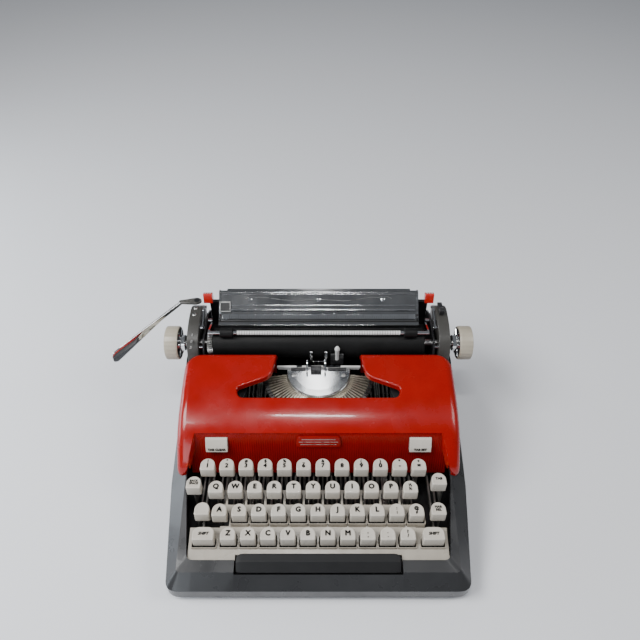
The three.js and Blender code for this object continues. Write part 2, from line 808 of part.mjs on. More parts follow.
// ---------- type basket ----------
const addBasket = () => {
  const low = segmentZ;
  const high = segmentZ + segmentThickness;
  const plate = new THREE.Shape();
  plate.absarc(0, segmentY, segmentRadius, Math.PI, 2 * Math.PI, false);
  plate.lineTo(segmentRadius, segmentY + segmentHeel);
  plate.lineTo(-segmentRadius, segmentY + segmentHeel);
  addPart("segment", alongZ(plate, low, high, 20), chrome);

  const ringInner = segmentRadius + gap;
  const ringShape = new THREE.Shape();
  ringShape.absarc(0, segmentY, ringInner + ringWidth, Math.PI, 2 * Math.PI, false);
  ringShape.absarc(0, segmentY, ringInner, 2 * Math.PI, Math.PI, true);
  const bars = [alongZ(ringShape, low - 2, low + 1, 12)];
  for (let i = 0; i < typebarCount; i += 1) {
    const turn = THREE.MathUtils.degToRad(typebarSpan * ((2 * i) / (typebarCount - 1) - 1));
    const start = new THREE.Vector3(
      (ringInner + ringWidth / 2) * Math.sin(turn),
      segmentY - (ringInner + ringWidth / 2) * Math.cos(turn),
      low,
    );
    const end = new THREE.Vector3(
      slugReachX * Math.sin(turn),
      segmentY - slugReachY * Math.cos(turn),
      low - slugDrop * Math.cos(turn),
    );
    const along = end.clone().sub(start);
    const reach = along.length();
    const [slugWidth, slugLength] = slugSize;
    const outline = [
      [-barWidth / 2, -2],
      [barWidth / 2, -2],
      [barWidth / 2, reach],
      [slugWidth / 2, reach],
      [slugWidth / 2, reach + slugLength],
      [-slugWidth / 2, reach + slugLength],
      [-slugWidth / 2, reach],
      [-barWidth / 2, reach],
    ];
    const bar = extrude(shapeOf(outline), barHeight);
    const forward = along.clone().normalize();
    const side = new THREE.Vector3().crossVectors(forward, new THREE.Vector3(0, 0, 1)).normalize();
    const up = new THREE.Vector3().crossVectors(side, forward);
    bar.applyMatrix4(new THREE.Matrix4().makeBasis(side, forward, up).setPosition(start));
    bars.push(solidOf(bar));
  }
  addPart("typebars", join(...bars), steel);

  const guideY = platenY - platenRadius - vibratorToPlaten;
  const guideRear = guideY + vibratorThickness;
  const vibratorTop = vibratorZ + vibratorHeight;
  const vibrator = join(
    box(-vibratorHalf, vibratorHalf, guideY, guideRear, vibratorZ, vibratorTop),
    box(-3, 3, guideY, guideRear, vibratorZ - vibratorStem, vibratorZ + 1),
  );
  const windowHalf = vibratorHalf - vibratorRim;
  const windowLow = vibratorZ + 2 * vibratorRim;
  const window = box(-windowHalf, windowHalf, guideY - 1, guideRear + 1, windowLow, vibratorTop + 1);
  addPart("ribbon_vibrator", cut(vibrator, window), chrome);

  for (const [name, side] of [["ribbon_spool_left", -1], ["ribbon_spool_right", 1]]) {
    const x = side * spoolX;
    const spoolTop = spoolZ + spoolHeight;
    const spool = cut(
      join(
        cylinderZ(spoolRadius, spoolZ, spoolZ + spoolFlange, x, spoolY, 24),
        cylinderZ(spoolRadius - spoolRibbon, spoolZ + 1, spoolTop - 1, x, spoolY, 20),
        cylinderZ(spoolRadius, spoolTop - spoolFlange, spoolTop, x, spoolY, 24),
      ),
      cylinderZ(spoolPostRadius + runGap, spoolZ - 1, spoolTop + 1, x, spoolY, 8),
    );
    addPart(name, spool, black);

    const bracketInner = spoolX - bracketReach;
    const bracketTop = spoolZ - gap;
    const arm = [side * bracketInner, side * (wellRearHalf - gap)].sort((p, q) => p - q);
    const bracket = join(
      box(...arm, spoolY - bracketHalf, spoolY + bracketHalf, bracketTop - bracketThickness, bracketTop),
      cylinderZ(spoolPostRadius, bracketTop - 1, spoolTop, x, spoolY, 8),
    );
    addPart(name.replace("spool", "bracket"), bracket, steel);
  }
};

// ---------- carriage ----------
const addCarriage = () => {
  const rail = join(
    box(-railLegX - railEnd, railLegX + railEnd, railFrontY, railRearY, railTopZ - railHeight, railTopZ),
    ...[-1, 1].map((side) =>
      box(
        side * railLegX - railLegHalf,
        side * railLegX + railLegHalf,
        railFrontY + railLegInset,
        railRearY - railLegInset,
        frameBottomZ,
        railTopZ - railHeight + 1,
      ),
    ),
  );
  addPart("carriage_rail", rail, steel);

  addPart(
    "mainspring_drum",
    cylinderY(drumRadius, railFrontY + 2, railFrontY + 2 + drumWidth, drumX, drumZ, 24),
    steel,
  );

  const bedHalf = endPlateInner - gap;
  const bed = join(
    box(-bedHalf, bedHalf, bedFrontY, endPlateRearY, bedBottomZ, bedBottomZ + bedThickness),
    box(-bedHalf, bedHalf, endPlateRearY - bedBack, endPlateRearY, bedBottomZ, bedBackZ),
  );
  addPart("carriage_bed", bed, darkGrey);

  const [noseY, crestY, heelY] = endPlateCrownY;
  const plateProfile = [
    [endPlateFrontY, bedBottomZ + endPlateChamfer - 1],
    [endPlateFrontY + endPlateChamfer, bedBottomZ],
    [endPlateRearY, bedBottomZ],
    [endPlateRearY, endPlateRearZ],
    [heelY, endPlateCrownZ],
    [crestY, endPlateCrownZ],
    [noseY, endPlateShoulderZ],
    [endPlateFrontY, endPlateFrontZ],
  ];
  // the outer face is hollowed, which leaves a wall all round
  const hollowZ = endPlateCrownZ - 2 * endPlateWall;
  const hollowProfile = [
    [endPlateFrontY + 2 * endPlateWall, bedBottomZ + endPlateChamfer + endPlateWall],
    [endPlateRearY - endPlateWall, bedBottomZ + endPlateWall],
    [endPlateRearY - endPlateWall, endPlateRearZ - endPlateWall - 1],
    [heelY - 2, hollowZ],
    [crestY + 2, hollowZ],
    [endPlateFrontY + 2 * endPlateWall, endPlateFrontZ],
  ];
  const bore = cylinderX(shaftRadius + runGap, -200, 200, platenY, platenZ, 16);
  for (const [name, side] of [["end_plate_left", -1], ["end_plate_right", 1]]) {
    const wide = [side * endPlateInner, side * (endPlateInner + endPlateWidth)].sort((p, q) => p - q);
    const hollow = [wide[0], wide[1]];
    hollow[side < 0 ? 1 : 0] += side * endPlateWall;
    hollow[side < 0 ? 0 : 1] += side;
    const plate = cut(alongX(plateProfile, ...wide), bore, alongX(hollowProfile, ...hollow));
    addPart(name, plate, grey);
  }

  const bored = (solid) => cut(solid, cylinderX(shaftRadius + gap, -200, 200, platenY, platenZ, 16));
  addPart("platen", bored(cylinderX(platenRadius, -platenHalf, platenHalf, platenY, platenZ, 32)), rubber);
  const shaftHalf = knobInner + knobWidth + 1;
  addPart("platen_shaft", cylinderX(shaftRadius, -shaftHalf, shaftHalf, platenY, platenZ, 16), steel);
  for (const [name, side] of [["platen_knob_left", -1], ["platen_knob_right", 1]]) {
    const rim = [side * knobInner, side * (knobInner + knobWidth)].sort((a, b) => a - b);
    const hub = [side * (knobInner - hubLength), side * (knobInner + 1)].sort((a, b) => a - b);
    const knob = join(
      cylinderX(knobRadius, ...rim, platenY, platenZ, 28),
      cylinderX(hubRadius, ...hub, platenY, platenZ, 16),
    );
    addPart(name, bored(knob), knobCream);
  }
  const ratchetEnd = -platenHalf - gap;
  const ratchet = cylinderX(ratchetRadius, ratchetEnd - ratchetWidth, ratchetEnd, platenY, platenZ, 24);
  addPart("line_space_ratchet", bored(ratchet), steel);

  const tableProfile = [
    [tableFrontY, tableFrontZ],
    [tableFrontY + tableLip, tableFrontZ - 1],
    [tableRearY, tableRearZ - tableThickness],
    [tableRearY + tableThickness, tableRearZ],
    [tableRearY - 1, tableRearZ],
    [tableFrontY + tableLip - 1, tableFrontZ + tableLipRise],
  ];
  addPart("paper_table", alongX(tableProfile, -tableHalf, tableHalf), chrome);
};

// ---------- pieces on the carriage ----------
const addPaperHandling = () => {
  const slopeStart = tableFrontY + tableLip - 1;
  const slopeStartZ = tableFrontZ + tableLipRise;
  const rise = (tableRearZ - slopeStartZ) / (tableRearY - 1 - slopeStart);
  const tableZ = (y) => slopeStartZ + rise * (y - slopeStart);
  const scaleRearY = scaleY + scaleDepth;
  const scaleProfile = [
    [scaleY, tableZ(scaleY) + gap],
    [scaleRearY, tableZ(scaleRearY) + gap],
    [scaleRearY, tableZ(scaleRearY) + gap + scaleThickness],
    [scaleY, tableZ(scaleY) + gap + scaleThickness],
  ];
  const scaleHalf = tableHalf - scaleDepth;
  addPart("paper_scale", alongX(scaleProfile, -scaleHalf, scaleHalf), chrome);

  // swinging bail: a rod on two arms that pivot on the end plates
  const reach = new THREE.Vector2(bailPivotY - bailY, bailPivotZ - bailZ);
  const normal = new THREE.Vector2(-reach.y, reach.x).normalize().multiplyScalar(bailArmDepth / 2);
  const armProfile = [
    [bailY + normal.x, bailZ + normal.y],
    [bailY - normal.x, bailZ - normal.y],
    [bailPivotY - normal.x, bailPivotZ - normal.y],
    [bailPivotY + normal.x, bailPivotZ + normal.y],
  ];
  const rodHalf = bailArmX + bailArmHalf;
  const bail = [cylinderX(bailRadius, -rodHalf, rodHalf, bailY, bailZ, 12)];
  for (const side of [-1, 1]) {
    const armX = [side * bailArmX - bailArmHalf, side * bailArmX + bailArmHalf];
    const pinX = [side * bailArmX, side * (endPlateInner - gap)].sort((p, q) => p - q);
    bail.push(alongX(armProfile, ...armX));
    bail.push(cylinderX(bailRadius, ...pinX, bailPivotY, bailPivotZ, 10));
  }
  addPart("paper_bail", join(...bail), chrome);
  for (const [name, side] of [["bail_roller_left", -1], ["bail_roller_right", 1]]) {
    const x = side * bailRollerX;
    const roller = cut(
      cylinderX(bailRollerRadius, x - bailRollerHalf, x + bailRollerHalf, bailY, bailZ, 16),
      cylinderX(bailRadius + runGap, x - 2 * bailRollerHalf, x + 2 * bailRollerHalf, bailY, bailZ, 12),
    );
    addPart(name, roller, rubber);
  }

  const supportY = tableRearY + tableThickness + gap;
  const supportTop = supportZ + supportThickness;
  const support = box(-supportHalf, supportHalf, supportY, supportY + supportDepth, supportZ, supportTop);
  addPart("paper_support", support, chrome);
};

const addLevers = () => {
  // carriage return lever: a foot on the left end plate, a bend, and a blade that widens to its tip
  const [px, py] = leverPivot;
  const bend = [px - leverFoot, py - 2];
  const blade = new THREE.Vector2(leverTip[0] - bend[0], leverTip[1] - bend[1]);
  const length = blade.length();
  const top = leverPlateZ + leverPlateThickness;
  const bladeOutline = [
    [-2, top - bladeRootDepth],
    [length * 0.35, top - bladeRootDepth - 1],
    [length - bladeEnd, leverTipZ],
    [length, leverTipZ + bladeEnd],
    [length - 2, top - 1],
    [-2, top],
  ];
  const geometry = extrude(shapeOf(bladeOutline), leverPlateThickness);
  geometry.applyMatrix4(new THREE.Matrix4().makeRotationX(Math.PI / 2));
  geometry.translate(0, leverPlateThickness / 2, 0);
  geometry.rotateZ(blade.angle());
  geometry.translate(bend[0], bend[1], 0);
  const foot = box(bend[0] - 2, px, py - leverFootFront, py + leverFootRear, leverPlateZ, top);
  const disc = cylinderZ(leverDiscRadius, leverPlateZ, top, px, py, 16);
  const pin = cylinderZ(leverPinRadius, leverPlateZ - leverPinLength, top, px, py, 8);
  addPart("return_lever", join(solidOf(geometry), foot, disc, pin), chrome);

  for (const [name, side] of [["margin_tab_left", -1], ["margin_tab_right", 1]]) {
    const tabX = side * endPlateInner;
    addPart(name, alongX(tabSide, tabX - tabHalf, tabX + tabHalf), red);
  }
  const releaseX = endPlateInner + releaseInset;
  addPart("carriage_release", alongX(releaseSide, releaseX, releaseX + releaseWidth), black);
};

// ---------- build ----------
addBase();
addFrame();
addGuard();
addKeys();
addCover();
addPanel();
addBasket();
addCarriage();
addPaperHandling();
addLevers();

const bounds = new THREE.Box3().setFromObject(typewriter);
const middle = bounds.getCenter(new THREE.Vector3());
typewriter.position.set(-middle.x, -middle.y, -bounds.min.z);

export default typewriter;
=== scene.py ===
import math

import bmesh
import bpy
from mathutils import Matrix, Vector


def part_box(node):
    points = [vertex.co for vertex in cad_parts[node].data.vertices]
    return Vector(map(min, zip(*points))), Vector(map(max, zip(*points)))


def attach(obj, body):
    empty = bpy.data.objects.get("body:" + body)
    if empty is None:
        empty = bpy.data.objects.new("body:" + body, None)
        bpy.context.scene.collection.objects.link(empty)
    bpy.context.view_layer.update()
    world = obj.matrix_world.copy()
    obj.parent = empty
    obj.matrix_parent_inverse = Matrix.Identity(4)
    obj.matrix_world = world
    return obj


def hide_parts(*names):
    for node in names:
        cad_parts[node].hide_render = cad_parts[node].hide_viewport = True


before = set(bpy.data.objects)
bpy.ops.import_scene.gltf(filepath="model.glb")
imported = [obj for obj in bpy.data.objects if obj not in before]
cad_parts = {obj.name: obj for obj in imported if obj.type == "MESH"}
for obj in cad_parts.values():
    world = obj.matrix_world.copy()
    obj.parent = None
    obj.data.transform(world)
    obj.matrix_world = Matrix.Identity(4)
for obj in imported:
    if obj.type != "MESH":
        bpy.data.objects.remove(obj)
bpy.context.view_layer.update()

# ---------- layout ----------
# Sizes are in millimetres, from the front edge of the number-row keys (y = 0), the machine's
# middle plane (x = 0) and the table top (z = 0). place() turns them into the frame's metres.
MM = 0.001
frame_low, frame_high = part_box("lower_frame")
number_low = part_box("number_row_keys")[0]
ORIGIN = Vector(((frame_low.x + frame_high.x) / 2, number_low.y, 0))


def place(point):
    return ORIGIN + Vector(point) * MM


# ---------- camera ----------
CAMERA_AT = (1.5, -320, 603.5)
CAMERA_PITCH = 45
LENS = 34.3

camera_data = bpy.data.cameras.new("camera")
camera_data.lens = LENS
camera_data.sensor_width = 36
camera_data.clip_end = 50
camera = bpy.data.objects.new("camera", camera_data)
camera.location = place(CAMERA_AT)
camera.rotation_euler = (math.radians(90 - CAMERA_PITCH), 0, 0)
bpy.context.scene.collection.objects.link(camera)
bpy.context.scene.camera = camera


# ---------- shapes ----------
class Shape:
    """Vertices and faces of a piece, in millimetres of the layout."""

    def __init__(self, verts=(), faces=()):
        self.verts = [tuple(v) for v in verts]
        self.faces = [tuple(f) for f in faces]

    def add(self, *others):
        for other in others:
            start = len(self.verts)
            self.verts += other.verts
            self.faces += [tuple(i + start for i in face) for face in other.faces]
        return self

    def moved(self, matrix):
        return Shape([matrix @ Vector(v) for v in self.verts], self.faces)


def shift(x=0, y=0, z=0):
    return Matrix.Translation((x, y, z))


def turn(degrees, axis, about=(0, 0, 0)):
    centre = Vector(about)
    spin = Matrix.Rotation(math.radians(degrees), 4, axis)
    return Matrix.Translation(centre) @ spin @ Matrix.Translation(-centre)


def loft(rings, caps=True, closed=True, around=False):
    """A skin over rings of equal length; around joins the last ring to the first."""
    count = len(rings[0])
    faces = []
    last = len(rings) if around else len(rings) - 1
    for a in range(last):
        b = (a + 1) % len(rings)
        for i in range(count if closed else count - 1):
            j = (i + 1) % count
            faces.append((a * count + i, a * count + j, b * count + j, b * count + i))
    if caps and not around:
        faces.append(tuple(range(count))[::-1])
        faces.append(tuple((len(rings) - 1) * count + i for i in range(count)))
    return Shape([p for ring in rings for p in ring], faces)


AXES = {
    "x": lambda p, t: (t, p[0], p[1]),
    "y": lambda p, t: (p[0], t, p[1]),
    "z": lambda p, t: (p[0], p[1], t),
}


def prism(points, axis, start, end):
    """An outline in the plane across the axis, extruded along it."""
    put = AXES[axis]
    return loft([[put(p, t) for p in points] for t in (start, end)])


def block(x0, x1, y0, y1, z0, z1):
    return prism([(x0, y0), (x1, y0), (x1, y1), (x0, y1)], "z", z0, z1)


def circle(radius, count=32, centre=(0, 0), start=0.0):
    step = 2 * math.pi / count
    return [
        (centre[0] + radius * math.cos(start + i * step), centre[1] + radius * math.sin(start + i * step))
        for i in range(count)
    ]


def lathe(profile, axis, centre, count=40):
    """A profile of (radius, place along the axis) turned round the axis."""
    put = AXES[axis]
    rings = [[put(p, t) for p in circle(max(r, 1e-4), count, centre)] for r, t in profile]
    return loft(rings)


def ring_lathe(profile, axis, centre, count=40):
    """The same for a closed profile that doesn't reach the axis."""
    put = AXES[axis]
    rings = [[put(p, t) for p in circle(r, count, centre)] for r, t in profile]
    return loft(rings, around=True)


def tube(points, radius, count=10):
    """A round bar along a line of points."""
    points = [Vector(p) for p in points]
    rings = []
    side = None
    for i, p in enumerate(points):
        ahead = points[min(i + 1, len(points) - 1)]
        behind = points[max(i - 1, 0)]
        along = (ahead - behind).normalized()
        if side is None:
            guess = Vector((0, 0, 1)) if abs(along.z) < 0.9 else Vector((1, 0, 0))
            side = along.cross(guess).normalized()
        side = (side - along * side.dot(along)).normalized()
        up = along.cross(side)
        rings.append([p + side * a + up * b for a, b in circle(radius, count)])
    return loft(rings)


def rounded(points, radius, steps=5, closed=True):
    """An outline with each corner replaced by a curve of about that radius."""
    out = []
    count = len(points)
    for i, p in enumerate(points):
        p = Vector(p)
        if not closed and i in (0, count - 1):
            out.append(tuple(p))
            continue
        before = Vector(points[i - 1]) - p
        after = Vector(points[(i + 1) % count]) - p
        r = radius[i] if isinstance(radius, (list, tuple)) else radius
        reach = min(r, before.length * 0.48, after.length * 0.48)
        if reach <= 0:
            out.append(tuple(p))
            continue
        a = p + before.normalized() * reach
        b = p + after.normalized() * reach
        for k in range(steps + 1):
            t = k / steps
            out.append(tuple(a * (1 - t) ** 2 + p * 2 * t * (1 - t) + b * t ** 2))
    return out


def spaced(points, longest):
    """The same line with no step longer than longest."""
    out = [points[0]]
    for a, b in zip(points, points[1:]):
        a, b = Vector(a), Vector(b)
        steps = max(1, math.ceil((b - a).length / longest))
        out += [tuple(a.lerp(b, k / steps)) for k in range(1, steps + 1)]
    return out


def lettering(text, size, slant=0.0):
    """Flat raised letters round the origin, facing +z."""
    curve = bpy.data.curves.new("letters", "FONT")
    curve.body = text
    curve.size = size
    curve.align_x = "CENTER"
    curve.align_y = "CENTER"
    curve.shear = slant
    curve.resolution_u = 3
    curve.extrude = 0.2
    curve.space_line = 0.9
    holder = bpy.data.objects.new("letters", curve)
    bpy.context.scene.collection.objects.link(holder)
    graph = bpy.context.evaluated_depsgraph_get()
    mesh = bpy.data.meshes.new_from_object(holder.evaluated_get(graph))
    shape = Shape([v.co for v in mesh.vertices], [tuple(p.vertices) for p in mesh.polygons])
    bpy.data.objects.remove(holder)
    bpy.data.curves.remove(curve)
    bpy.data.meshes.remove(mesh)
    stroke = size * 0.05
    heavy = Shape()
    for x, y in ((0, 0), (-1, 0), (1, 0), (0, -1), (0, 1)):
        heavy.add(shape.moved(shift(x * stroke, y * stroke)))
    return heavy


def piece(name, shape, material, body, bevel=0.0, segments=2, angle=35, replaces=()):
    """Makes a Blender object of a shape, lets it ride on its body and hides the CAD parts it replaces."""
    mesh = bpy.data.meshes.new(name)
    mesh.from_pydata([place(v) for v in shape.verts], [], shape.faces)
    work = bmesh.new()
    work.from_mesh(mesh)
    bmesh.ops.remove_doubles(work, verts=work.verts, dist=2e-6)
    bmesh.ops.recalc_face_normals(work, faces=work.faces)
    work.to_mesh(mesh)
    work.free()
    mesh.materials.append(material)
    mesh.shade_smooth()
    if not bevel:
        mesh.set_sharp_from_angle(angle=math.radians(angle))
    made = bpy.data.objects.new(name, mesh)
    bpy.context.scene.collection.objects.link(made)
    if bevel:
        edge = made.modifiers.new("edge", "BEVEL")
        edge.width = bevel * MM
        edge.segments = segments
        edge.limit_method = "ANGLE"
        edge.angle_limit = math.radians(28)
        edge.harden_normals = True
    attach(made, body)
    if replaces:
        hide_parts(*replaces)
    return made


# ---------- materials ----------
def surface(name, color, rough, metal=0.0, coat=0.0, vary=0.08, grain=60.0, rough_vary=0.08,
            bump=0.0, bump_grain=900.0, wear=None, wear_from=0.52, specular=0.5, dust=None):
    """A finish with uneven colour and gloss, a fine bump, and worn edges where wear is a colour."""
    material = bpy.data.materials.new(name)
    material.use_nodes = True
    nodes = material.node_tree.nodes
    links = material.node_tree.links
    shader = nodes["Principled BSDF"]
    shader.inputs["Metallic"].default_value = metal
    shader.inputs["Coat Weight"].default_value = coat
    shader.inputs["Coat Roughness"].default_value = 0.06
    shader.inputs["Specular IOR Level"].default_value = specular
    where = nodes.new("ShaderNodeTexCoord")

    def noise(scale, detail):
        made = nodes.new("ShaderNodeTexNoise")
        made.inputs["Scale"].default_value = scale
        made.inputs["Detail"].default_value = detail
        links.new(where.outputs["Object"], made.inputs["Vector"])
        return made

    def blend(factor, a, b):
        made = nodes.new("ShaderNodeMix")
        made.data_type = "RGBA"
        links.new(factor, made.inputs["Factor"])
        for socket, value in ((made.inputs["A"], a), (made.inputs["B"], b)):
            if isinstance(value, tuple):
                socket.default_value = (*value, 1)
            else:
                links.new(value, socket)
        return made.outputs["Result"]

    def remap(value, low, high, to_low, to_high):
        made = nodes.new("ShaderNodeMapRange")
        made.inputs["From Min"].default_value = low
        made.inputs["From Max"].default_value = high
        made.inputs["To Min"].default_value = to_low
        made.inputs["To Max"].default_value = to_high
        links.new(value, made.inputs["Value"])
        return made.outputs["Result"]

    mottle = noise(grain, 4)
    dark = tuple(c * (1 - vary) for c in color)
    light = tuple(min(1, c * (1 + vary)) for c in color)
    shade = blend(remap(mottle.outputs["Fac"], 0.3, 0.7, 0, 1), dark, light)
    if dust:
        low = noise(grain * 0.3, 6)
        shade = blend(remap(low.outputs["Fac"], 0.5, 0.8, 0, 0.5), shade, dust)
    if wear:
        geometry = nodes.new("ShaderNodeNewGeometry")
        edge = remap(geometry.outputs["Pointiness"], wear_from, wear_from + 0.06, 0, 1)
        scratch = noise(grain * 5, 3)
        broken = nodes.new("ShaderNodeMath")
        broken.operation = "MULTIPLY"
        links.new(edge, broken.inputs[0])
        links.new(remap(scratch.outputs["Fac"], 0.4, 0.62, 0, 1), broken.inputs[1])
        shade = blend(broken.outputs["Value"], shade, wear)
    links.new(shade, shader.inputs["Base Color"])
    smear = noise(grain * 0.6, 5)
    links.new(
        remap(smear.outputs["Fac"], 0.3, 0.7, max(0.02, rough - rough_vary), rough + rough_vary),
        shader.inputs["Roughness"],
    )
    if bump:
        fine = noise(bump_grain, 3)
        relief = nodes.new("ShaderNodeBump")
        relief.inputs["Strength"].default_value = bump
        relief.inputs["Distance"].default_value = 0.0004
        links.new(fine.outputs["Fac"], relief.inputs["Height"])
        links.new(relief.outputs["Normal"], shader.inputs["Normal"])
    return material


ENAMEL_RED = surface("enamel_red", (0.29, 0.002, 0.0004), 0.24, coat=0.3, vary=0.05, bump=0.05,
                     bump_grain=500, wear=(0.5, 0.05, 0.02), wear_from=0.56, specular=0.35)
PANEL_RED = surface("panel_red", (0.23, 0.002, 0.0006), 0.4, vary=0.1, bump=0.05, specular=0.2)
FRAME_GREY = surface("frame_grey", (0.027, 0.0275, 0.029), 0.3, coat=0.15, vary=0.06,
                     bump=0.05, bump_grain=1500, specular=0.4)
PLATE_GREY = surface("plate_grey", (0.046, 0.044, 0.04), 0.4, vary=0.1, bump=0.2, bump_grain=2500,
                     wear=(0.35, 0.34, 0.32), wear_from=0.54)
KEY_CREAM = surface("key_cream", (0.56, 0.52, 0.455), 0.3, coat=0.2, vary=0.03, bump=0.05,
                    dust=(0.46, 0.41, 0.33))
# the guard's dark dust patches are partly dust and partly painted shade, standing for the shade that falls
# under the keys
GUARD_CREAM = surface("guard_cream", (0.36, 0.325, 0.27), 0.3, coat=0.2, vary=0.1, bump=0.1,
                      dust=(0.2, 0.17, 0.13))
KNOB_CREAM = surface("knob_cream", (0.4, 0.36, 0.285), 0.36, vary=0.06, bump=0.1, dust=(0.28, 0.24, 0.18))
BAR_GREY = surface("bar_grey", (0.014, 0.014, 0.0145), 0.5, vary=0.08, bump=0.1, specular=0.25)
LEGEND = surface("legend", (0.012, 0.012, 0.012), 0.45, vary=0.1)
MARK_WHITE = surface("mark_white", (0.62, 0.62, 0.6), 0.4, vary=0.1)
BLACK_METAL = surface("black_metal", (0.012, 0.012, 0.013), 0.35, coat=0.1, vary=0.2, bump=0.1,
                      wear=(0.2, 0.2, 0.2), wear_from=0.56)
LEVER_STEEL = surface("lever_steel", (0.24, 0.235, 0.22), 0.4, metal=0.7, vary=0.3, grain=120, bump=0.1,
                      dust=(0.07, 0.06, 0.05))
STEEL = surface("steel", (0.42, 0.42, 0.41), 0.32, metal=1.0, vary=0.12, grain=150, rough_vary=0.1, bump=0.1)
TYPE_STEEL = surface("type_steel", (0.4, 0.36, 0.29), 0.32, metal=0.7, vary=0.2, grain=200, bump=0.1,
                     dust=(0.2, 0.18, 0.15))
CHROME = surface("chrome", (0.72, 0.73, 0.74), 0.09, metal=1.0, vary=0.04, rough_vary=0.05, bump=0.02,
                 wear=(0.35, 0.34, 0.33), wear_from=0.6)
TABLE_CHROME = surface("table_chrome", (0.4, 0.405, 0.41), 0.14, metal=1.0, vary=0.1, rough_vary=0.06,
                       bump=0.03)
RUBBER = surface("rubber", (0.006, 0.006, 0.006), 0.5, vary=0.2, bump=0.3, bump_grain=2500, specular=0.18)
TAB_RED = surface("tab_red", (0.5, 0.015, 0.01), 0.25, coat=0.3, vary=0.08)
BED_BLACK = surface("bed_black", (0.014, 0.014, 0.015), 0.38, coat=0.1, vary=0.15, bump=0.08)
BLACK_PLASTIC = surface("black_plastic", (0.015, 0.015, 0.016), 0.4, vary=0.15, bump=0.15)
RIBBON_CLOTH = surface("ribbon_cloth", (0.012, 0.012, 0.014), 0.85, vary=0.2, bump=0.5, bump_grain=4000)

# ---------- feet, base plate and shafts that keep their CAD form ----------
CARRIED = {
    "base_plate": (BED_BLACK, 0.4),
    "foot_front_left": (RUBBER, 1.2),
    "foot_front_right": (RUBBER, 1.2),
    "foot_rear_left": (RUBBER, 1.2),
    "foot_rear_right": (RUBBER, 1.2),
    "key_fulcrum_shaft": (STEEL, 0.3),
    "key_guard": (GUARD_CREAM, 0.35),
    "carriage_rail": (STEEL, 0.6),
    "mainspring_drum": (STEEL, 0.8),
    "ribbon_bracket_left": (STEEL, 0.4),
    "ribbon_bracket_right": (STEEL, 0.4),
    "carriage_bed": (BED_BLACK, 0.5),
    "platen_shaft": (STEEL, 0.4),
}
for node, (finish, edge_width) in CARRIED.items():
    carried = bpy.data.objects[node]
    carried.data.materials.clear()
    carried.data.materials.append(finish)
    carried.data.shade_smooth()
    edge = carried.modifiers.new("edge", "BEVEL")
    edge.width = edge_width * MM
    edge.segments = 3
    edge.limit_method = "ANGLE"
    edge.angle_limit = math.radians(30)
    edge.harden_normals = True


# ---------- lower frame ----------
def deck(y):
    """Height of the side decks at a depth."""
    return 36 + 0.27 * (y + 73)


FLOOR_Z = 10.6
NOTCH_HALF = 79.5


def frame_station(a, c, d, z):
    """Section of the frame: outer wall, slope, ledge and inner wall, from plan points and heights."""
    wall = Vector(c) - Vector(a)
    inner = Vector(a) + wall.normalized() * min(2.5, wall.length)
    return [
        (*a, FLOOR_Z), (*a, z[0]), (*c, z[1]), (*d, z[2]), (*d, z[2] - 7),
        (inner.x, inner.y, z[0] - 4), (inner.x, inner.y, FLOOR_Z),
    ]


def notch_station(x):
    """Section where the space bar sits: only the outer wall and its slope."""
    return [
        (x, -97, FLOOR_Z), (x, -97, 22), (x, -85.5, 32.6), (x, -85.5, 30), (x, -94, 21.5),
        (x, -94.5, 18), (x, -94.5, FLOOR_Z),
    ]


def quarter(start, corner, end, t):
    a, b, c = Vector(start), Vector(corner), Vector(end)
    return tuple(a * (1 - t) ** 2 + b * 2 * t * (1 - t) + c * t ** 2)


front_half = []
for x in (NOTCH_HALF + 0.02, 92, 105, 118):
    front_half.append(frame_station((x, -97), (x, -84), (x, -73), (22, 34, 36)))
for k in range(9):
    t = k / 8
    a = quarter((131.5, -97), (144.5, -97), (144.8, -84), t)
    c = quarter((129, -84), (134, -84), (134, -79), t)
    d = quarter((119.5, -73), (125, -73), (125.5, -67.5), t)
    front_half.append(frame_station(a, c, d, (22 - 0.3 * t, 34 + 0.4 * t, 36 + 1.3 * t)))
SIDE_DEPTHS = ((-60, -58, -52), (-30, -28, -24), (0, 0, 6), (40, 40, 40), (80, 80, 80), (116.6,) * 3)
for ya, yc, yd in SIDE_DEPTHS:
    xa = 144.8 + 5.2 * min(1, (ya + 84) / 84)
    xd = min(133.4, 125.5 + 7.9 * (yd + 67.5) / 73.5)
    front_half.append(frame_station((xa, ya), (134, yc), (xd, yd), (deck(ya) - 11.3, deck(yc), deck(yd))))
for y in (118.6, 139, 186):
    front_half.append(frame_station((150, y), (134, y), (133.4, y), (min(82, deck(y) - 11.3), 82, 82)))
front_half.append(frame_station((150, 190), (134, 188.2), (133.4, 187.5), (81, 82, 82)))
mirror = [[(-x, y, z) for x, y, z in section] for section in reversed(front_half)]
frame_sections = front_half + mirror
notch = [notch_station(x) for x in (-NOTCH_HALF, NOTCH_HALF)]
piece("frame_shell", loft(frame_sections + notch, around=True), FRAME_GREY, "frame", bevel=1.3, segments=4,
      replaces=["lower_frame"])

# ---------- keys ----------
LEVER_FOOT_Z = 26
CAP_HEIGHT = 13
CAP_DEPTH = 13.5
CAP_WIDTH = 14.8
SHIFT_CAP_WIDTH = 21
LEGEND_LIFT = 0.14
LEVER_HALF = 0.8
TIE_Z = 22
TIE_SIZE = 3


def cap_outline(width, depth, inset, corner):
    half = width / 2 - inset
    radius = min(width / 2, depth - 3) if width < 16 else 6.2
    radius = max(radius - inset, 0.4)
    straight = depth - inset - radius
    points = rounded([(-half, straight), (-half, inset), (half, inset), (half, straight)],
                     [0, corner, corner, 0], 4)[1:-1]
    arc = []
    for k in range(13):
        angle = math.radians(90 * k / 12)
        arc.append((half - radius + radius * math.cos(angle), straight + radius * math.sin(angle)))
    for k in range(13):
        angle = math.radians(90 + 90 * k / 12)
        arc.append((-half + radius + radius * math.cos(angle), straight + radius * math.sin(angle)))
    return points + arc


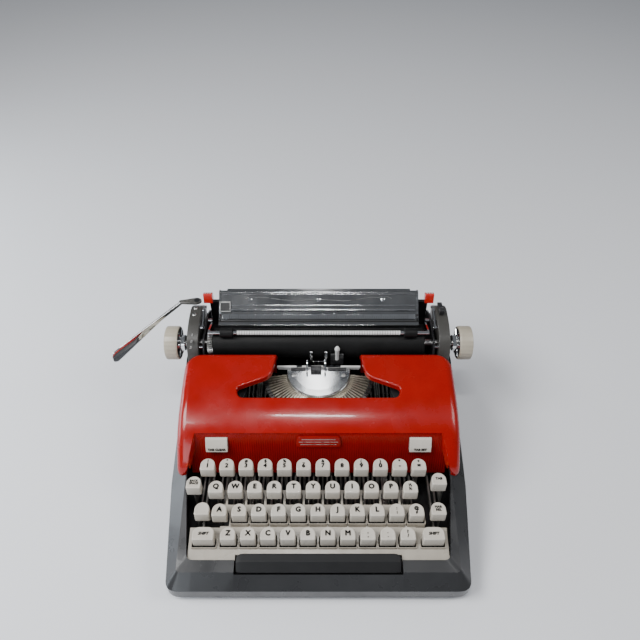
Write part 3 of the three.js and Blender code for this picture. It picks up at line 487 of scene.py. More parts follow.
def cap(width, x, front, top, depth=CAP_DEPTH):
    """A keycap: straight skirt, soft rim and a shallow dish."""
    rings = []
    levels = [(0.2, -CAP_HEIGHT), (0.0, -CAP_HEIGHT + 0.5), (0.0, -CAP_HEIGHT + 1.2), (0.2, -1.3),
              (0.32, -0.6),
              (0.62, -0.18), (1.05, -0.02), (1.5, -0.1), (2.2, -0.3), (3.6, -0.42)]
    for inset, drop in levels:
        rings.append([(x + px, front + py, top + drop) for px, py in cap_outline(width, depth, inset, 1.6)])
    return loft(rings)


def lever(x, stem_y, cap_bottom):
    """A key lever: a stem under the cap, a long bar, and a fork round the fulcrum shaft."""
    front, back = stem_y - 3, stem_y + 3
    fork = [
        (142, 30), (152.4, 30), (152.4, 31.6), (150, 31.6), (148.3, 32.3), (147.6, 34), (148.3, 35.7),
        (150, 36.4), (152.4, 36.4), (152.4, 38), (142, 38),
    ]
    stem = [(back, 31), (back, cap_bottom + 1), (front, cap_bottom + 1)]
    return prism([(front, LEVER_FOOT_Z)] + fork + stem, "x", x - LEVER_HALF, x + LEVER_HALF)


def tie_foot(x, tie_y):
    """The part of a lever that reaches down to the tie of its row."""
    return block(x - LEVER_HALF, x + LEVER_HALF, tie_y, tie_y + TIE_SIZE, TIE_Z, 31)


def tie_bar(x0, x1, tie_y):
    return block(x0, x1, tie_y, tie_y + TIE_SIZE, TIE_Z, TIE_Z + TIE_SIZE)


def legend(text, size, x, y, z, slant=0.0):
    return lettering(text, size, slant).moved(shift(x, y, z + LEGEND_LIFT))


PITCH = 19.05
ROW_DEPTH = 20
ROW_DROP = 8.3
TOP_ROW_Z = 75
ROW_X = (-110, -100.475, -95.7125, -86.1875)
DIGITS = [("!", "1"), ('"', "2"), ("#", "3"), ("$", "4"), ("%", "5"), ("_", "6"), ("&", "7"), ("'", "8"),
          ("(", "9"), (")", "0"), ("*", "-"), ("+", "=")]
ROWS = [
    ("number_row", "number_row_keys", DIGITS, 118),
    ("upper_row", "upper_row_keys", list("QWERTYUIOP") + ["½\n¼"], 125),
    (None, None, list("ASDFGHJKL") + [":\n;", "@\n¢"], None),
    ("lower_row", "lower_row_keys", list("ZXCVBNM") + [",\n,", ".\n.", "?\n/"], 132),
]
HOME = ["a", "s", "d", "f", "g", "h", "j", "k", "l", "semicolon", "cent"]
DISH = -0.42
for row, (body, node, texts, tie_y) in enumerate(ROWS):
    caps, bars, marks = Shape(), Shape(), Shape()
    front = -ROW_DEPTH * row
    top = TOP_ROW_Z - ROW_DROP * row
    for i, text in enumerate(texts):
        x = ROW_X[row] + PITCH * i
        one_cap = cap(CAP_WIDTH, x, front, top)
        one_bar = lever(x, front + CAP_DEPTH / 2, top - CAP_HEIGHT)
        if isinstance(text, tuple):
            one_mark = legend(text[1], 6.3, x, front + 5.0, top + DISH)
            one_mark.add(legend(text[0], 4.6, x, front + 10.0, top + DISH))
        elif "\n" in text:
            one_mark = legend(text, 4.4, x, front + 6.4, top + DISH)
        else:
            one_mark = legend(text, 7.1, x, front + 6.9, top + DISH)
        if body:
            caps.add(one_cap)
            bars.add(one_bar)
            marks.add(one_mark)
            bars.add(tie_foot(x, tie_y))
        else:
            own = f"key_{HOME[i]}"
            piece(f"cap_{HOME[i]}", one_cap, KEY_CREAM, own, replaces=[own], angle=50)
            piece(f"lever_{HOME[i]}", one_bar, LEVER_STEEL, own, replaces=[own])
            piece(f"legend_{HOME[i]}", one_mark, LEGEND, own)
    if body:
        last = ROW_X[row] + PITCH * (len(texts) - 1)
        bars.add(tie_bar(ROW_X[row] - LEVER_HALF, last + LEVER_HALF, tie_y))
        piece(f"{body}_caps", caps, KEY_CREAM, body, replaces=[node], angle=50)
        piece(f"{body}_levers", bars, LEVER_STEEL, body, replaces=[node])
        piece(f"{body}_legends", marks, LEGEND, body)

SINGLES = [
    ("backspace", -122.5, -16, 68, -124, "BACK\nSPACE", 3.1),
    ("shift_lock", -112.5, -39, 59, -118.6, "", 0),
    ("tab", 118.5, -13, 69.5, 124, "TAB", 3.6),
    ("margin_release", 116, -39, 59, 119, "MAR\nREL", 3.4),
]
for body, x, front, top, lever_x, text, size in SINGLES:
    node = f"{body}_key"
    one_lever = lever(lever_x, front + CAP_DEPTH / 2, top - CAP_HEIGHT)
    piece(f"{body}_cap", cap(CAP_WIDTH, x, front, top), KEY_CREAM, body, replaces=[node],
          angle=50)
    piece(f"{body}_lever", one_lever, LEVER_STEEL, body, replaces=[node])
    if text:
        piece(f"{body}_legend", legend(text, size, x, front + 6.8, top + DISH), LEGEND, body)

shift_caps, shift_bars, shift_marks = Shape(), Shape(), Shape()
SHIFT_TOP = TOP_ROW_Z - 3 * ROW_DROP
SHIFT_FRONT = -3 * ROW_DEPTH
SHIFT_X = 109.8
SHIFT_LEVER_X = 114
SHIFT_TIE_Y = 105
for side in (-1, 1):
    shift_caps.add(cap(SHIFT_CAP_WIDTH, side * SHIFT_X, SHIFT_FRONT, SHIFT_TOP))
    shift_bars.add(lever(side * SHIFT_LEVER_X, SHIFT_FRONT + CAP_DEPTH / 2, SHIFT_TOP - CAP_HEIGHT))
    shift_bars.add(tie_foot(side * SHIFT_LEVER_X, SHIFT_TIE_Y))
    shift_marks.add(legend("SHIFT", 3.9, side * SHIFT_X, SHIFT_FRONT + 6.6, SHIFT_TOP + DISH, 0.25))
shift_bars.add(tie_bar(-SHIFT_LEVER_X, SHIFT_LEVER_X, SHIFT_TIE_Y))
piece("shift_caps", shift_caps, KEY_CREAM, "shift", replaces=["shift_keys"], angle=50)
piece("shift_levers", shift_bars, LEVER_STEEL, "shift", replaces=["shift_keys"])
piece("shift_legends", shift_marks, LEGEND, "shift")

# collars of the key guard in front of the home and lower rows
def guard_z(y):
    """Height of the key guard at a depth."""
    return 33.5 + 16.5 * (y + 72.7) / 64.7


collars = Shape()
collar_keys = [(ROW_X[2] + PITCH * i, -40, 45.4, 7.4) for i in range(1, 11)]
collar_keys += [(ROW_X[3] + PITCH * i, -60, 37.1, 7.4) for i in range(10)]
collar_keys += [(side * SHIFT_X, -60, 37.1, 10.5) for side in (-1, 1)]
for x, front, cap_bottom, half in collar_keys:
    gap_x, gap_y, wall = half + 1.1, front - 2.0, 0.75
    outline = rounded([
        (x - gap_x - wall, front + 7), (x - gap_x - wall, gap_y - wall), (x + gap_x + wall, gap_y - wall),
        (x + gap_x + wall, front + 7), (x + gap_x, front + 7), (x + gap_x, gap_y), (x - gap_x, gap_y),
        (x - gap_x, front + 7)], [0, 1.8, 1.8, 0, 0, 1, 1, 0], 4)
    low = guard_z(gap_y) - 1
    collars.add(loft([
        [(u, v, low + 0.255 * (v - gap_y)) for u, v in outline],
        [(u, v, cap_bottom + 1.7 - 0.16 * (v - gap_y)) for u, v in outline],
    ]))
piece("guard_collars", collars, GUARD_CREAM, "frame", bevel=0.25, segments=2)

# ---------- space bar ----------
bar_section = [(-84, 32), (-84, 33.6), (-77, 41.6), (-69.4, 42), (-69.4, 32)]
bar_rings = []
half_stations = ((77.5, 4), (77.1, 2.6), (75.9, 1.2), (73.8, 0.3), (71, 0))
bar_stations = [(-x, shrink) for x, shrink in half_stations] + list(reversed(half_stations))
for x, shrink in bar_stations:
    ring = []
    for y, z in bar_section:
        forward = 0.3 * shrink if y < -80 else -shrink if y > -72 else 0
        lower = 0.5 * shrink if z > 40 else 0
        ring.append((x, y + forward, z - lower))
    bar_rings.append(ring)
piece("space_bar_cap", loft(bar_rings), BAR_GREY, "space", bevel=0.7, segments=3, replaces=["space_bar"])
bar_arms = Shape()
for x in (-69.5, 68.6):
    sides = (x - LEVER_HALF, x + LEVER_HALF)
    bar_arms.add(lever(x, -40.5, 31))
    bar_arms.add(block(*sides, -43.5, -37.5, 19, 31))
    bar_arms.add(block(*sides, -78.4, -40.5, 19, 24))
    bar_arms.add(block(*sides, -78.4, -72.4, 19, 33))
piece("space_bar_arms", bar_arms, LEVER_STEEL, "space", replaces=["space_bar"])

# ---------- top cover ----------
COVER_HALF = 142.5
COVER_REAR = 116
ROOF = rounded([(4.0, deck(4) + 3.5), (9, 71), (20, 84), (31, 95), (45, 103), (60, 108), (82, 113),
                (116, 118)], [0, 6, 8, 9, 9, 9, 12, 0], 5, closed=False)


def roof(y):
    """Height of the cover at a depth."""
    if y <= ROOF[0][0]:
        return ROOF[0][1]
    for (ya, za), (yb, zb) in zip(ROOF, ROOF[1:]):
        if y <= yb:
            return za + (zb - za) * (y - ya) / (yb - ya)
    return ROOF[-1][1]


NOSE = 6


def cover_body(inset):
    """The cover as a solid: its skin drawn in by inset."""
    rings = []
    corner = 15 - inset
    soft = 10 - inset
    depths = [y for y, _ in spaced([(y, 0) for y, _ in ROOF], 6)]
    depths = [y for y in depths if 4 + inset < y < COVER_REAR - corner]
    depths = [4 + inset + NOSE * (1 - math.cos(math.radians(a))) for a in (4, 15, 30, 45, 60, 75)] + [
        y for y in depths if y > 4 + inset + NOSE]
    depths += [COVER_REAR - inset - corner * (1 - math.sin(math.radians(a))) for a in range(0, 91, 10)]
    for y in depths:
        near = max(0, y - (COVER_REAR - inset - corner))
        half = COVER_HALF - inset
        if near:
            half += math.sqrt(max(0, corner ** 2 - near ** 2)) - corner
        nose = max(0, 4 + inset + NOSE - y)
        half -= NOSE - math.sqrt(max(0, NOSE ** 2 - nose ** 2))
        top = roof(y) - inset * 1.15
        low = deck(y) + 0.3 - (30 if inset else 0)
        rear = max(0, y - (COVER_REAR - inset - 5))
        top -= 5 - math.sqrt(max(0, 25 - rear ** 2)) if rear else 0
        r = min(soft, (top - low) * 0.8)
        side = [(half, low)]
        for k in range(9):
            angle = math.radians(90 * k / 8)
            side.append((half - r + r * math.cos(angle), top - r + r * math.sin(angle)))
        rings.append([(x, y, z) for x, z in side] + [(-x, y, z) for x, z in reversed(side)])
    return loft(rings)


left_edge = [(-43.5, 130), (-44, 118), (-46.5, 104), (-50, 88), (-84.5, 74.5), (-82, 64)]
opening = left_edge + [(-x, y) for x, y in reversed(left_edge)]
opening = rounded(opening, [0, 4, 6, 17, 4, 8, 8, 4, 17, 6, 4, 0], 7)


def grown(points, amount):
    """An open or closed outline moved outward by amount (outline runs counterclockwise)."""
    out = []
    for i, p in enumerate(points):
        before = Vector(points[i - 1]) if i else Vector(p)
        after = Vector(points[i + 1]) if i + 1 < len(points) else Vector(p)
        along = (after - before).normalized()
        out.append((p[0] + along.y * amount, p[1] - along.x * amount))
    return out


def solid_object(shape):
    """A temporary closed mesh for cutting."""
    mesh = bpy.data.meshes.new("work")
    mesh.from_pydata([place(v) for v in shape.verts], [], shape.faces)
    work = bmesh.new()
    work.from_mesh(mesh)
    bmesh.ops.recalc_face_normals(work, faces=work.faces)
    work.to_mesh(mesh)
    work.free()
    made = bpy.data.objects.new("work", mesh)
    bpy.context.scene.collection.objects.link(made)
    return made


def cut_out(shape, tools):
    """The shape less the tools, as a Shape."""
    target = solid_object(shape)
    cutters = [solid_object(tool) for tool in tools]
    for cutter in cutters:
        step = target.modifiers.new("cut", "BOOLEAN")
        step.operation = "DIFFERENCE"
        step.solver = "EXACT"
        step.object = cutter
    graph = bpy.context.evaluated_depsgraph_get()
    mesh = bpy.data.meshes.new_from_object(target.evaluated_get(graph))
    result = Shape([(v.co - ORIGIN) / MM for v in mesh.vertices], [tuple(p.vertices) for p in mesh.polygons])
    bpy.data.meshes.remove(mesh)
    for used in [target, *cutters]:
        data = used.data
        bpy.data.objects.remove(used)
        bpy.data.meshes.remove(data)
    return result


LIP = 1.7
hole = prism(grown(opening, LIP), "z", 80, 200)
ARM_EDGE = [(150, -20), (150, 2), (137.5, 4), (134, 5), (131.6, 7), (130.3, 10), (129.4, 14)]


def recess_plan(rear_y, rear_x):
    right = ARM_EDGE + [(rear_x, rear_y)]
    return [(-x, y) for x, y in right] + [(x, y) for x, y in reversed(right)]


recess_low = loft([
    [(x, y, z) for x, y in recess_plan(rear_y, rear_x)]
    for z, rear_y, rear_x in ((0, 20, 127.6), (42, 21, 127.4), (93.6, 32.8, 123.2))
])
cover = cut_out(cover_body(0), [cover_body(1.6), hole, recess_low])
piece("cover_shell", cover, ENAMEL_RED, "frame", bevel=0.45, segments=3, replaces=["top_cover"])

# the cover is turned down along the inner edges of the side arms
for side, label in ((-1, "left"), (1, "right")):
    flange = []
    for x, y in spaced([(130.2, 10.4), (129.4, 14), (123.4, 32.4)], 3):
        top = roof(y) - 1.1
        low = max(top - 15, deck(y) + 2)
        section = ((0.1, top), (-0.25, top - 0.6), (-0.25, low), (0.9, low), (0.9, top))
        flange.append([(side * (x + u), y, z) for u, z in section])
    piece(f"cover_arm_flange_{label}", loft(flange), ENAMEL_RED, "frame", angle=60)

lip_rings = []
lip_line = [p for p in spaced(opening, 5) if p[1] < 117]
lip_out = grown(lip_line, LIP)
for (x, y), (ox, oy) in zip(lip_line, lip_out):
    away = Vector((ox - x, oy - y)).normalized()
    high = roof(min(115, oy)) - 0.02
    if oy > 111:
        high -= 5 - math.sqrt(max(0, 25 - (oy - 111) ** 2))
    ring = []
    for k in range(6):
        angle = math.radians(90 * k / 5)
        reach = LIP - LIP * math.sin(angle)
        ring.append((x + away.x * reach, y + away.y * reach, high - LIP * (1 - math.cos(angle))))
    ring.append((x, y, high - 6))
    ring.append((x + away.x * 1.1, y + away.y * 1.1, high - 6))
    ring.append((x + away.x * 1.2, y + away.y * 1.2, high - 2.6))
    ring.append((x + away.x * LIP, y + away.y * LIP, high - 1.5))
    lip_rings.append(ring)
piece("cover_opening_lip", loft(lip_rings), ENAMEL_RED, "frame", replaces=["top_cover"],
      angle=60)


# ---------- ribbed panel, badge and tabulator buttons ----------
def panel_y(z):
    return 17 + 14 * (z - 42) / 53


rib_line = [(-131.4, 2.0), (-131.4, 0.1)]
RIB_PITCH = 2.3
for i in range(114):
    x = -131.1 + i * RIB_PITCH
    rib_line += [(x + 0.2, 0.1), (x + 0.6, -0.25), (x + 1.6, -0.25), (x + 2.0, 0.1)]
rib_line += [(131.4, 0.1), (131.4, 2.0)]
panel_levels = [(42, 0), (84, 0), (89, 0), (91.2, 0.4), (92.5, 1.2)]
panel = loft([
    [(x * (1 - 0.06 * max(0, z - 84) / 8.5), panel_y(z) + depth + back, z) for x, depth in rib_line]
    for z, back in panel_levels
])
button_holes = [block(s * 102.5 - 11.4, s * 102.5 + 11.4, 0, 60, 73.7, 88.3) for s in (-1, 1)]
piece("panel_ribs", cut_out(panel, button_holes), PANEL_RED, "frame", replaces=["ribbed_panel"],
      angle=25)
badge_outline = rounded([(-23, 0), (23, 0), (21, 12.6), (-21, 12.6)], 3, 5)
badge = loft([
    [(x * s, panel_y(78 + z) - 1.1 - t, 78.2 + z) for x, z in badge_outline]
    for s, t in ((1, 0), (1, 1.0), (0.97, 1.35))
])
piece("badge", badge, PANEL_RED, "frame", replaces=["badge_plate"])
badge_bars = Shape()
for k, half in enumerate((18, 19.5, 17)):
    z = 81.2 + 3.1 * k
    badge_bars.add(prism([(panel_y(z) - 2.65, z), (panel_y(z) - 2.3, z), (panel_y(z + 0.7) - 2.3, z + 0.7),
                          (panel_y(z + 0.7) - 2.65, z + 0.7)], "x", -half, half))
piece("badge_bars", badge_bars, TABLE_CHROME, "frame", replaces=["badge_plate"])

for body, side, text in (("tab_clear", -1, "TAB CLEAR"), ("tab_set", 1, "TAB SET")):
    x = side * 102.5
    section = [(20.6, 74), (38, 74), (38, 88), (29, 88), (27, 87.2), (22.6, 80.6)]
    piece(f"{body}_button_cap", prism(section, "x", x - 11, x + 11), KEY_CREAM, body, bevel=0.5, segments=3,
          replaces=[f"{body}_button"])
    mark = lettering(text, 3.5).moved(turn(73, "X")).moved(shift(x, 21.4, 77.3))
    piece(f"{body}_legend", mark, LEGEND, body)

# ---------- type basket ----------
SEGMENT_Y = 106
SEGMENT_R = 34
segment_arc = [(SEGMENT_R * math.sin(a), SEGMENT_Y - SEGMENT_R * math.cos(a))
               for a in [math.radians(-90 + 180 * k / 60) for k in range(61)]]
segment_plan = segment_arc + [(SEGMENT_R, 110), (-SEGMENT_R, 110)]
segment = loft([
    [(x * s, SEGMENT_Y + (y - SEGMENT_Y) * s, z) for x, y in segment_plan]
    for s, z in ((1, 94), (1, 99), (0.985, 99.9))
])
slots = []
BAR_COUNT = 44
FAN_HALF_ANGLE = 84
for i in range(BAR_COUNT):
    angle = FAN_HALF_ANGLE * (2 * i / (BAR_COUNT - 1) - 1)
    slots.append(block(-0.35, 0.35, SEGMENT_Y - 36, SEGMENT_Y - 26, 97.2, 102).moved(
        turn(angle, "Z", (0, SEGMENT_Y, 0))))
slot_tool = Shape()
for one in slots:
    slot_tool.add(one)
piece("segment_plate", cut_out(segment, [slot_tool]), CHROME, "type_basket", replaces=["segment"],
      angle=30)
rivets = Shape()
for x, y in ((-26.5, 100), (26.5, 100)):
    rivets.add(lathe([(2.3, 99.5), (2.3, 100.3), (1.6, 100.9), (0.01, 101)], "z", (x, y), 18))
piece("segment_rivets", rivets, STEEL, "type_basket", replaces=["segment"])

strips = Shape()
for a, b in ((-45, -24), (-18, -13.5), (-8, 5), (24, 45)):
    strips.add(block(a, b, 110.4, 112.6, 98.6, 101.2))
strips.add(block(-44, 44, 111, 112, 96, 98.8))
piece("type_rest_strips", strips, MARK_WHITE, "type_basket", bevel=0.2)
block_shape = block(-8.5, 3, 103.5, 110, 100.2, 104)
block_shape.add(block(-30, -14, 106.5, 109.5, 99.8, 101.5), block(10, 30, 106.5, 109.5, 99.8, 101.5))
piece("type_guide_block", block_shape, BLACK_METAL, "type_basket", bevel=0.4)
uprights = Shape()
for x in (-12.3, 7.0):
    uprights.add(block(x - 0.9, x + 0.9, 101, 103, 100, 103.5))
    uprights.add(tube([(x, 102, 102.5), (x, 108, 104.5), (x, 113, 106), (x, 115, 108)], 0.9, 10))
piece("type_guide_fork", uprights, CHROME, "type_basket")
tip_profile = [(2.2, 104), (2.2, 117.5), (2.8, 118.5), (2.8, 120.5), (1.6, 123), (0.05, 124)]
tip = lathe(tip_profile, "z", (20, 119.6), 20)
piece("card_finger_tip", tip, MARK_WHITE, "frame")
finger = Shape()
finger.add(block(13, 27, 118.6, 120.4, 96, 112))
piece("card_finger", finger, BLACK_METAL, "frame", bevel=0.3)

rim_arc = [math.radians(-88 + 176 * k / 70) for k in range(71)]
rim = loft([
    [(r * math.sin(a), SEGMENT_Y - r * math.cos(a), z)
     for r, z in ((34.3, 92), (39.3, 92), (39.3, 95), (34.3, 95))]
    for a in rim_arc
])
piece("typebar_rim", rim, TYPE_STEEL, "type_basket", replaces=["typebars"])
bars, slugs = Shape(), Shape()
for i in range(BAR_COUNT):
    angle = math.radians(FAN_HALF_ANGLE * (2 * i / (BAR_COUNT - 1) - 1))
    s, c = math.sin(angle), math.cos(angle)
    start = Vector((37 * s, SEGMENT_Y - 37 * c, 95.4))
    end = Vector((56 * s, SEGMENT_Y - 50 * c, 95.2 - 10 * c))
    along = (end - start).normalized()
    side = along.cross(Vector((0, 0, 1))).normalized()
    up = side.cross(along)

    def at(u, v, w):
        return start + side * u + along * v + up * w

    reach = (end - start).length
    bars.add(loft([
        [at(-w, v, -h), at(w, v, -h), at(w, v, h), at(-w, v, h)]
        for v, w, h in ((-2, 0.6, 0.8), (1, 0.62, 1.3), (reach * 0.55, 0.78, 1.3), (reach - 1, 0.9, 1.1))
    ]))
    slugs.add(loft([
        [at(-w, reach + v, -1.4), at(w, reach + v, -1.4), at(w, reach + v, h), at(-w, reach + v, h)]
        for v, w, h in ((-1, 1.3, 0.4), (-0.4, 1.5, 1.4), (3.4, 1.5, 1.4), (4.4, 1.1, 0.6))
    ]))
piece("typebar_fan", bars, TYPE_STEEL, "type_basket", replaces=["typebars"])
piece("type_slugs", slugs, STEEL, "type_basket", replaces=["typebars"])

# ---------- ribbon guide, spools and ribbon ----------
GUIDE_Y = 118.5
guide = Shape()
for side in (-1, 1):
    guide.add(block(side * 8 - 1.3, side * 8 + 1.3, GUIDE_Y, GUIDE_Y + 1.2, 97, 116))
guide.add(block(-9.3, 9.3, GUIDE_Y, GUIDE_Y + 1.2, 95.9, 101))
guide.add(block(-3, 3, GUIDE_Y, GUIDE_Y + 1.2, 78, 96))
piece("ribbon_guide", guide, CHROME, "vibrator", bevel=0.25, replaces=["ribbon_vibrator"])

for side, body in ((-1, "spool_left"), (1, "spool_right")):
    node = f"ribbon_{body}"
    x = side * 100
    flange_profile = [(3, 88), (24, 88), (24, 89.3), (18.6, 89.4), (18.6, 95.6), (24, 95.7), (24, 97),
                      (3, 97)]
    flanges = ring_lathe(flange_profile, "z", (x, 84), 40)
    piece(f"{body}_flanges", flanges, BLACK_PLASTIC, body, bevel=0.3, replaces=[node])
    wound = ring_lathe([(18, 89.4), (21.4, 89.4), (21.4, 95.6), (18, 95.6)], "z", (x, 84), 40)
    piece(f"{body}_ribbon", wound, RIBBON_CLOTH, body)

# ---------- carriage ----------
PLATEN_Y, PLATEN_Z = 140, 108
outer_profile = [(119.5, 90), (124.5, 86), (190, 86), (190, 118), (174, 132), (150, 132), (128, 124),
                 (119.5, 108)]
outer_profile = rounded(outer_profile, [3, 3, 3, 4, 8, 10, 8, 8], 5)
pocket = [(125.5, 94), (187, 89.5), (187, 114), (172, 126), (152, 126), (130, 119), (125.5, 108)]
for side, label in ((-1, "left"), (1, "right")):
    a, b = sorted((side * 130, side * 142.5))
    pa, pb = sorted((side * 132.5, side * 143.5))
    bore = lathe([(4.4, -200), (4.4, 200)], "x", (PLATEN_Y, PLATEN_Z), 32)
    plate = cut_out(prism(outer_profile, "x", a, b), [prism(pocket, "x", pa, pb), bore])
    piece(f"end_plate_{label}_shell", plate, PLATE_GREY, "carriage", bevel=0.9, segments=3,
          replaces=[f"end_plate_{label}"])

inner_plates, links = Shape(), Shape()
for side in (-1, 1):
    a, b = sorted((side * 124.5, side * 126.5))
    low_plate = rounded([(122, 92), (126, 86), (189, 86), (189, 112), (172, 121), (152, 119), (134, 108 + 12),
                         (123, 106)], 3, 4)
    bore = lathe([(4.4, -200), (4.4, 200)], "x", (PLATEN_Y, PLATEN_Z), 32)
    inner_plates.add(cut_out(prism(low_plate, "x", a, b), [bore]))
    for y, z, x0, x1, r in ((128, 114, 126, 131, 1.6), (182, 100, 126, 131, 2), (150, 96, 126, 131, 2)):
        links.add(lathe([(r, side * x0), (r, side * x1)], "x", (y, z), 16))
piece("end_plate_inner_walls", inner_plates, BLACK_METAL, "carriage", bevel=0.3,
      replaces=["end_plate_left", "end_plate_right"])
for side in (-1, 1):
    for k, (ya, za, yb, zb) in enumerate(((146, 126, 168, 131), (150, 122, 178, 126.5))):
        strip = rounded([(ya, za - 1.6), (yb, zb - 1.6), (yb, zb + 1.6), (ya, za + 1.6)], 1.5, 4)
        links.add(prism(strip, "x", side * (127.2 + 1.3 * k) - 0.5, side * (127.2 + 1.3 * k) + 0.5))
    for y, z in ((146, 126), (168, 131), (178, 126.5)):
        links.add(lathe([(1.7, side * 126.6), (1.7, side * 129.4)], "x", (y, z), 16))
    coil = []
    for k in range(40):
        coil.append((side * 128 + 1.1 * math.cos(0.9 * k), 152 + 0.4 * k, 116 + 1.1 * math.sin(0.9 * k)))
    links.add(tube(coil, 0.28, 6))
piece("end_plate_links", links, CHROME, "carriage", angle=40)

# numerals and screws on the left end plate
marks = Shape()
for k, text in enumerate("123"):
    y = 137 - 7 * k
    marks.add(lettering(text, 4.4).moved(shift(-136.5, y - 3, 127.6 - 0.36 * (140 - y) + 0.3)))
piece("line_space_numbers", marks, MARK_WHITE, "carriage")
screws = Shape()
for y in (160, 170):
    screws.add(lathe([(2.4, 131.6), (2.4, 132.6), (1.8, 133.1), (0.01, 133.2)], "z", (-137, y), 20))
piece("end_plate_screws", screws, STEEL, "carriage")

# platen, its collars and the line-space ratchet
platen = ring_lathe([(4.3, -115), (15.7, -115), (16.5, -114.2), (16.5, 114.2), (15.7, 115), (4.3, 115)],
                    "x", (PLATEN_Y, PLATEN_Z), 72)
piece("platen_roll", platen, RUBBER, "platen", replaces=["platen"])
ratchet_rings = []
for t in (-122, -121.4, -116.2, -115.3):
    drawn = 0.6 if t in (-122, -115.3) else 0
    teeth = []
    for k in range(40):
        for part, radius in ((0, 12.9), (0.5, 11.7)):
            angle = 2 * math.pi * (k + part) / 40
            r = radius - drawn
            teeth.append((PLATEN_Y + r * math.cos(angle), PLATEN_Z + r * math.sin(angle)))
    ratchet_rings.append([(t, y, z) for y, z in teeth])
bore_ring = circle(4.3, 80, (PLATEN_Y, PLATEN_Z))
ratchet = loft([[(-115.3, y, z) for y, z in bore_ring], [(-122, y, z) for y, z in bore_ring]] + ratchet_rings,
               around=True)
piece("ratchet_wheel", ratchet, STEEL, "platen", replaces=["line_space_ratchet"], angle=25)

RIM_PROFILE = (
    (16.4, 153.2), (17.9, 153), (18.5, 153.8), (18.6, 155), (18.6, 165.6), (18.2, 167), (17, 167.5),
    (15.2, 167.2), (14.4, 166), (14.0, 161), (4.4, 161),
)
for side, label in ((-1, "left"), (1, "right")):
    knob_rings = []
    for r, t in RIM_PROFILE:
        ring = []
        for k in range(96):
            angle = 2 * math.pi * k / 96
            groove = 0.35 if (k % 4 == 0 and r > 18) else 0
            reach = r - groove
            ring.append((side * t, PLATEN_Y + reach * math.cos(angle), PLATEN_Z + reach * math.sin(angle)))
        knob_rings.append(ring)
    knob_rings.append([(side * 153.4, PLATEN_Y + 4.4 * math.cos(2 * math.pi * k / 96),
                        PLATEN_Z + 4.4 * math.sin(2 * math.pi * k / 96)) for k in range(96)])
    piece(f"knob_{label}_rim", loft(knob_rings, around=True), KNOB_CREAM, "platen", angle=40,
          replaces=[f"platen_knob_{label}"])
    hub = Shape()
    hub.add(ring_lathe([(4.4, side * 147.2), (8.8, side * 147), (8.8, side * 153.3), (4.4, side * 153.3)],
                       "x", (PLATEN_Y, PLATEN_Z), 32))
    for k in range(6):
        spoke_rings = []
        for t, root, tip_half, end in ((152.9, 1.3, 1.8, 16), (151.6, 0.8, 1.2, 15)):
            corners = ((-root, 8), (root, 8), (tip_half, end), (-tip_half, end))
            spoke_rings.append([(side * t, PLATEN_Y + y, PLATEN_Z + z) for y, z in corners])
        spoke = loft(spoke_rings)
        hub.add(spoke.moved(turn(60 * k, "X", (0, PLATEN_Y, PLATEN_Z))))
    piece(f"knob_{label}_hub", hub, CHROME, "platen", bevel=0.2, replaces=[f"platen_knob_{label}"])
    backing_profile = [(4.4, side * 153.5), (16.2, side * 153.5), (16.2, side * 152.9), (4.4, side * 152.9)]
    backing = ring_lathe(backing_profile, "x", (PLATEN_Y, PLATEN_Z), 48)
    piece(f"knob_{label}_backing", backing, BLACK_PLASTIC, "platen")

# paper table: a chromed shelf behind the platen with rails, a black strip of painted shadow under its front
# edge and a window
TABLE_HALF = 112
RISE = (141 - 118.5) / (187 - 163)


def table_z(y):
    return 118.5 + RISE * (y - 163)


table_section = rounded([(158, 117), (164, 116), (188, 139), (190, 141), (187, 141), (163, 118.5)],
                        [0.8, 2, 1, 0.6, 0.6, 1.5], 4)
table = prism(table_section, "x", -TABLE_HALF, TABLE_HALF)
piece("paper_table_plate", table, TABLE_CHROME, "carriage", replaces=["paper_table"], angle=40)
scale_section = [(164, table_z(164) + 0.3), (168, table_z(168) + 0.3), (168, table_z(168) + 1.8),
                 (164, table_z(164) + 1.8)]
piece("paper_scale_strip", prism(scale_section, "x", -108, 108), CHROME, "carriage", bevel=0.3,
      replaces=["paper_scale"])
ticks = Shape()
for k in range(81):
    x = -100 + 2.5 * k
    reach = 3.2 if k % 4 == 0 else 1.8
    ticks.add(prism([(164.3, table_z(164.3) + 1.75), (164.3 + reach, table_z(164.3 + reach) + 1.75),
                     (164.3 + reach, table_z(164.3 + reach) + 1.95), (164.3, table_z(164.3) + 1.95)],
                    "x", x - 0.22, x + 0.22))
piece("paper_scale_ticks", ticks, LEGEND, "carriage")
rails = Shape()
for y, r in ((171.4, 1.5), (175.6, 0.9), (184.8, 0.7)):
    z = table_z(y) + r
    rails.add(tube([(-108, y, z), (108, y, z)], r, 14))
for side in (-1, 1):
    rails.add(prism([(163.5, table_z(163.5) + 0.3), (188, table_z(188) + 0.3), (188, table_z(188) + 1.5),
                     (163.5, table_z(163.5) + 1.5)], "x", side * 110.5 - 0.8, side * 110.5 + 0.8))
piece("paper_table_rails", rails, CHROME, "carriage", angle=50)
# black strip of painted shadow: a dark piece standing for the shade between the platen and the paper table
painted_shadow_strip = rounded([(157.6, 116.2), (160, 114.6), (163.6, table_z(163.6) - 0.2), (163.4, table_z(163.4) + 0.6),
                  (158.2, table_z(158.2) + 1.2)], 0.6, 3)
piece("paper_painted_shadow", prism(painted_shadow_strip, "x", -112.4, 112.4), RUBBER, "carriage")
window = Shape()
for a, b, c, d in ((-110.5, -98.5, 168.4, 169.4), (-110.5, -98.5, 176, 177), (-110.5, -109.5, 168.4, 177),
                   (-99.5, -98.5, 168.4, 177)):
    section = [(c, table_z(c) + 3.2), (d, table_z(d) + 3.2), (d, table_z(d) + 4.2), (c, table_z(c) + 4.2)]
    window.add(prism(section, "x", a, b))
piece("margin_window_frame", window, STEEL, "carriage", bevel=0.15)
pane = prism([(169, table_z(169) + 3.1), (176.4, table_z(176.4) + 3.1), (176.4, table_z(176.4) + 3.6),
              (169, table_z(169) + 3.6)], "x", -110, -99)
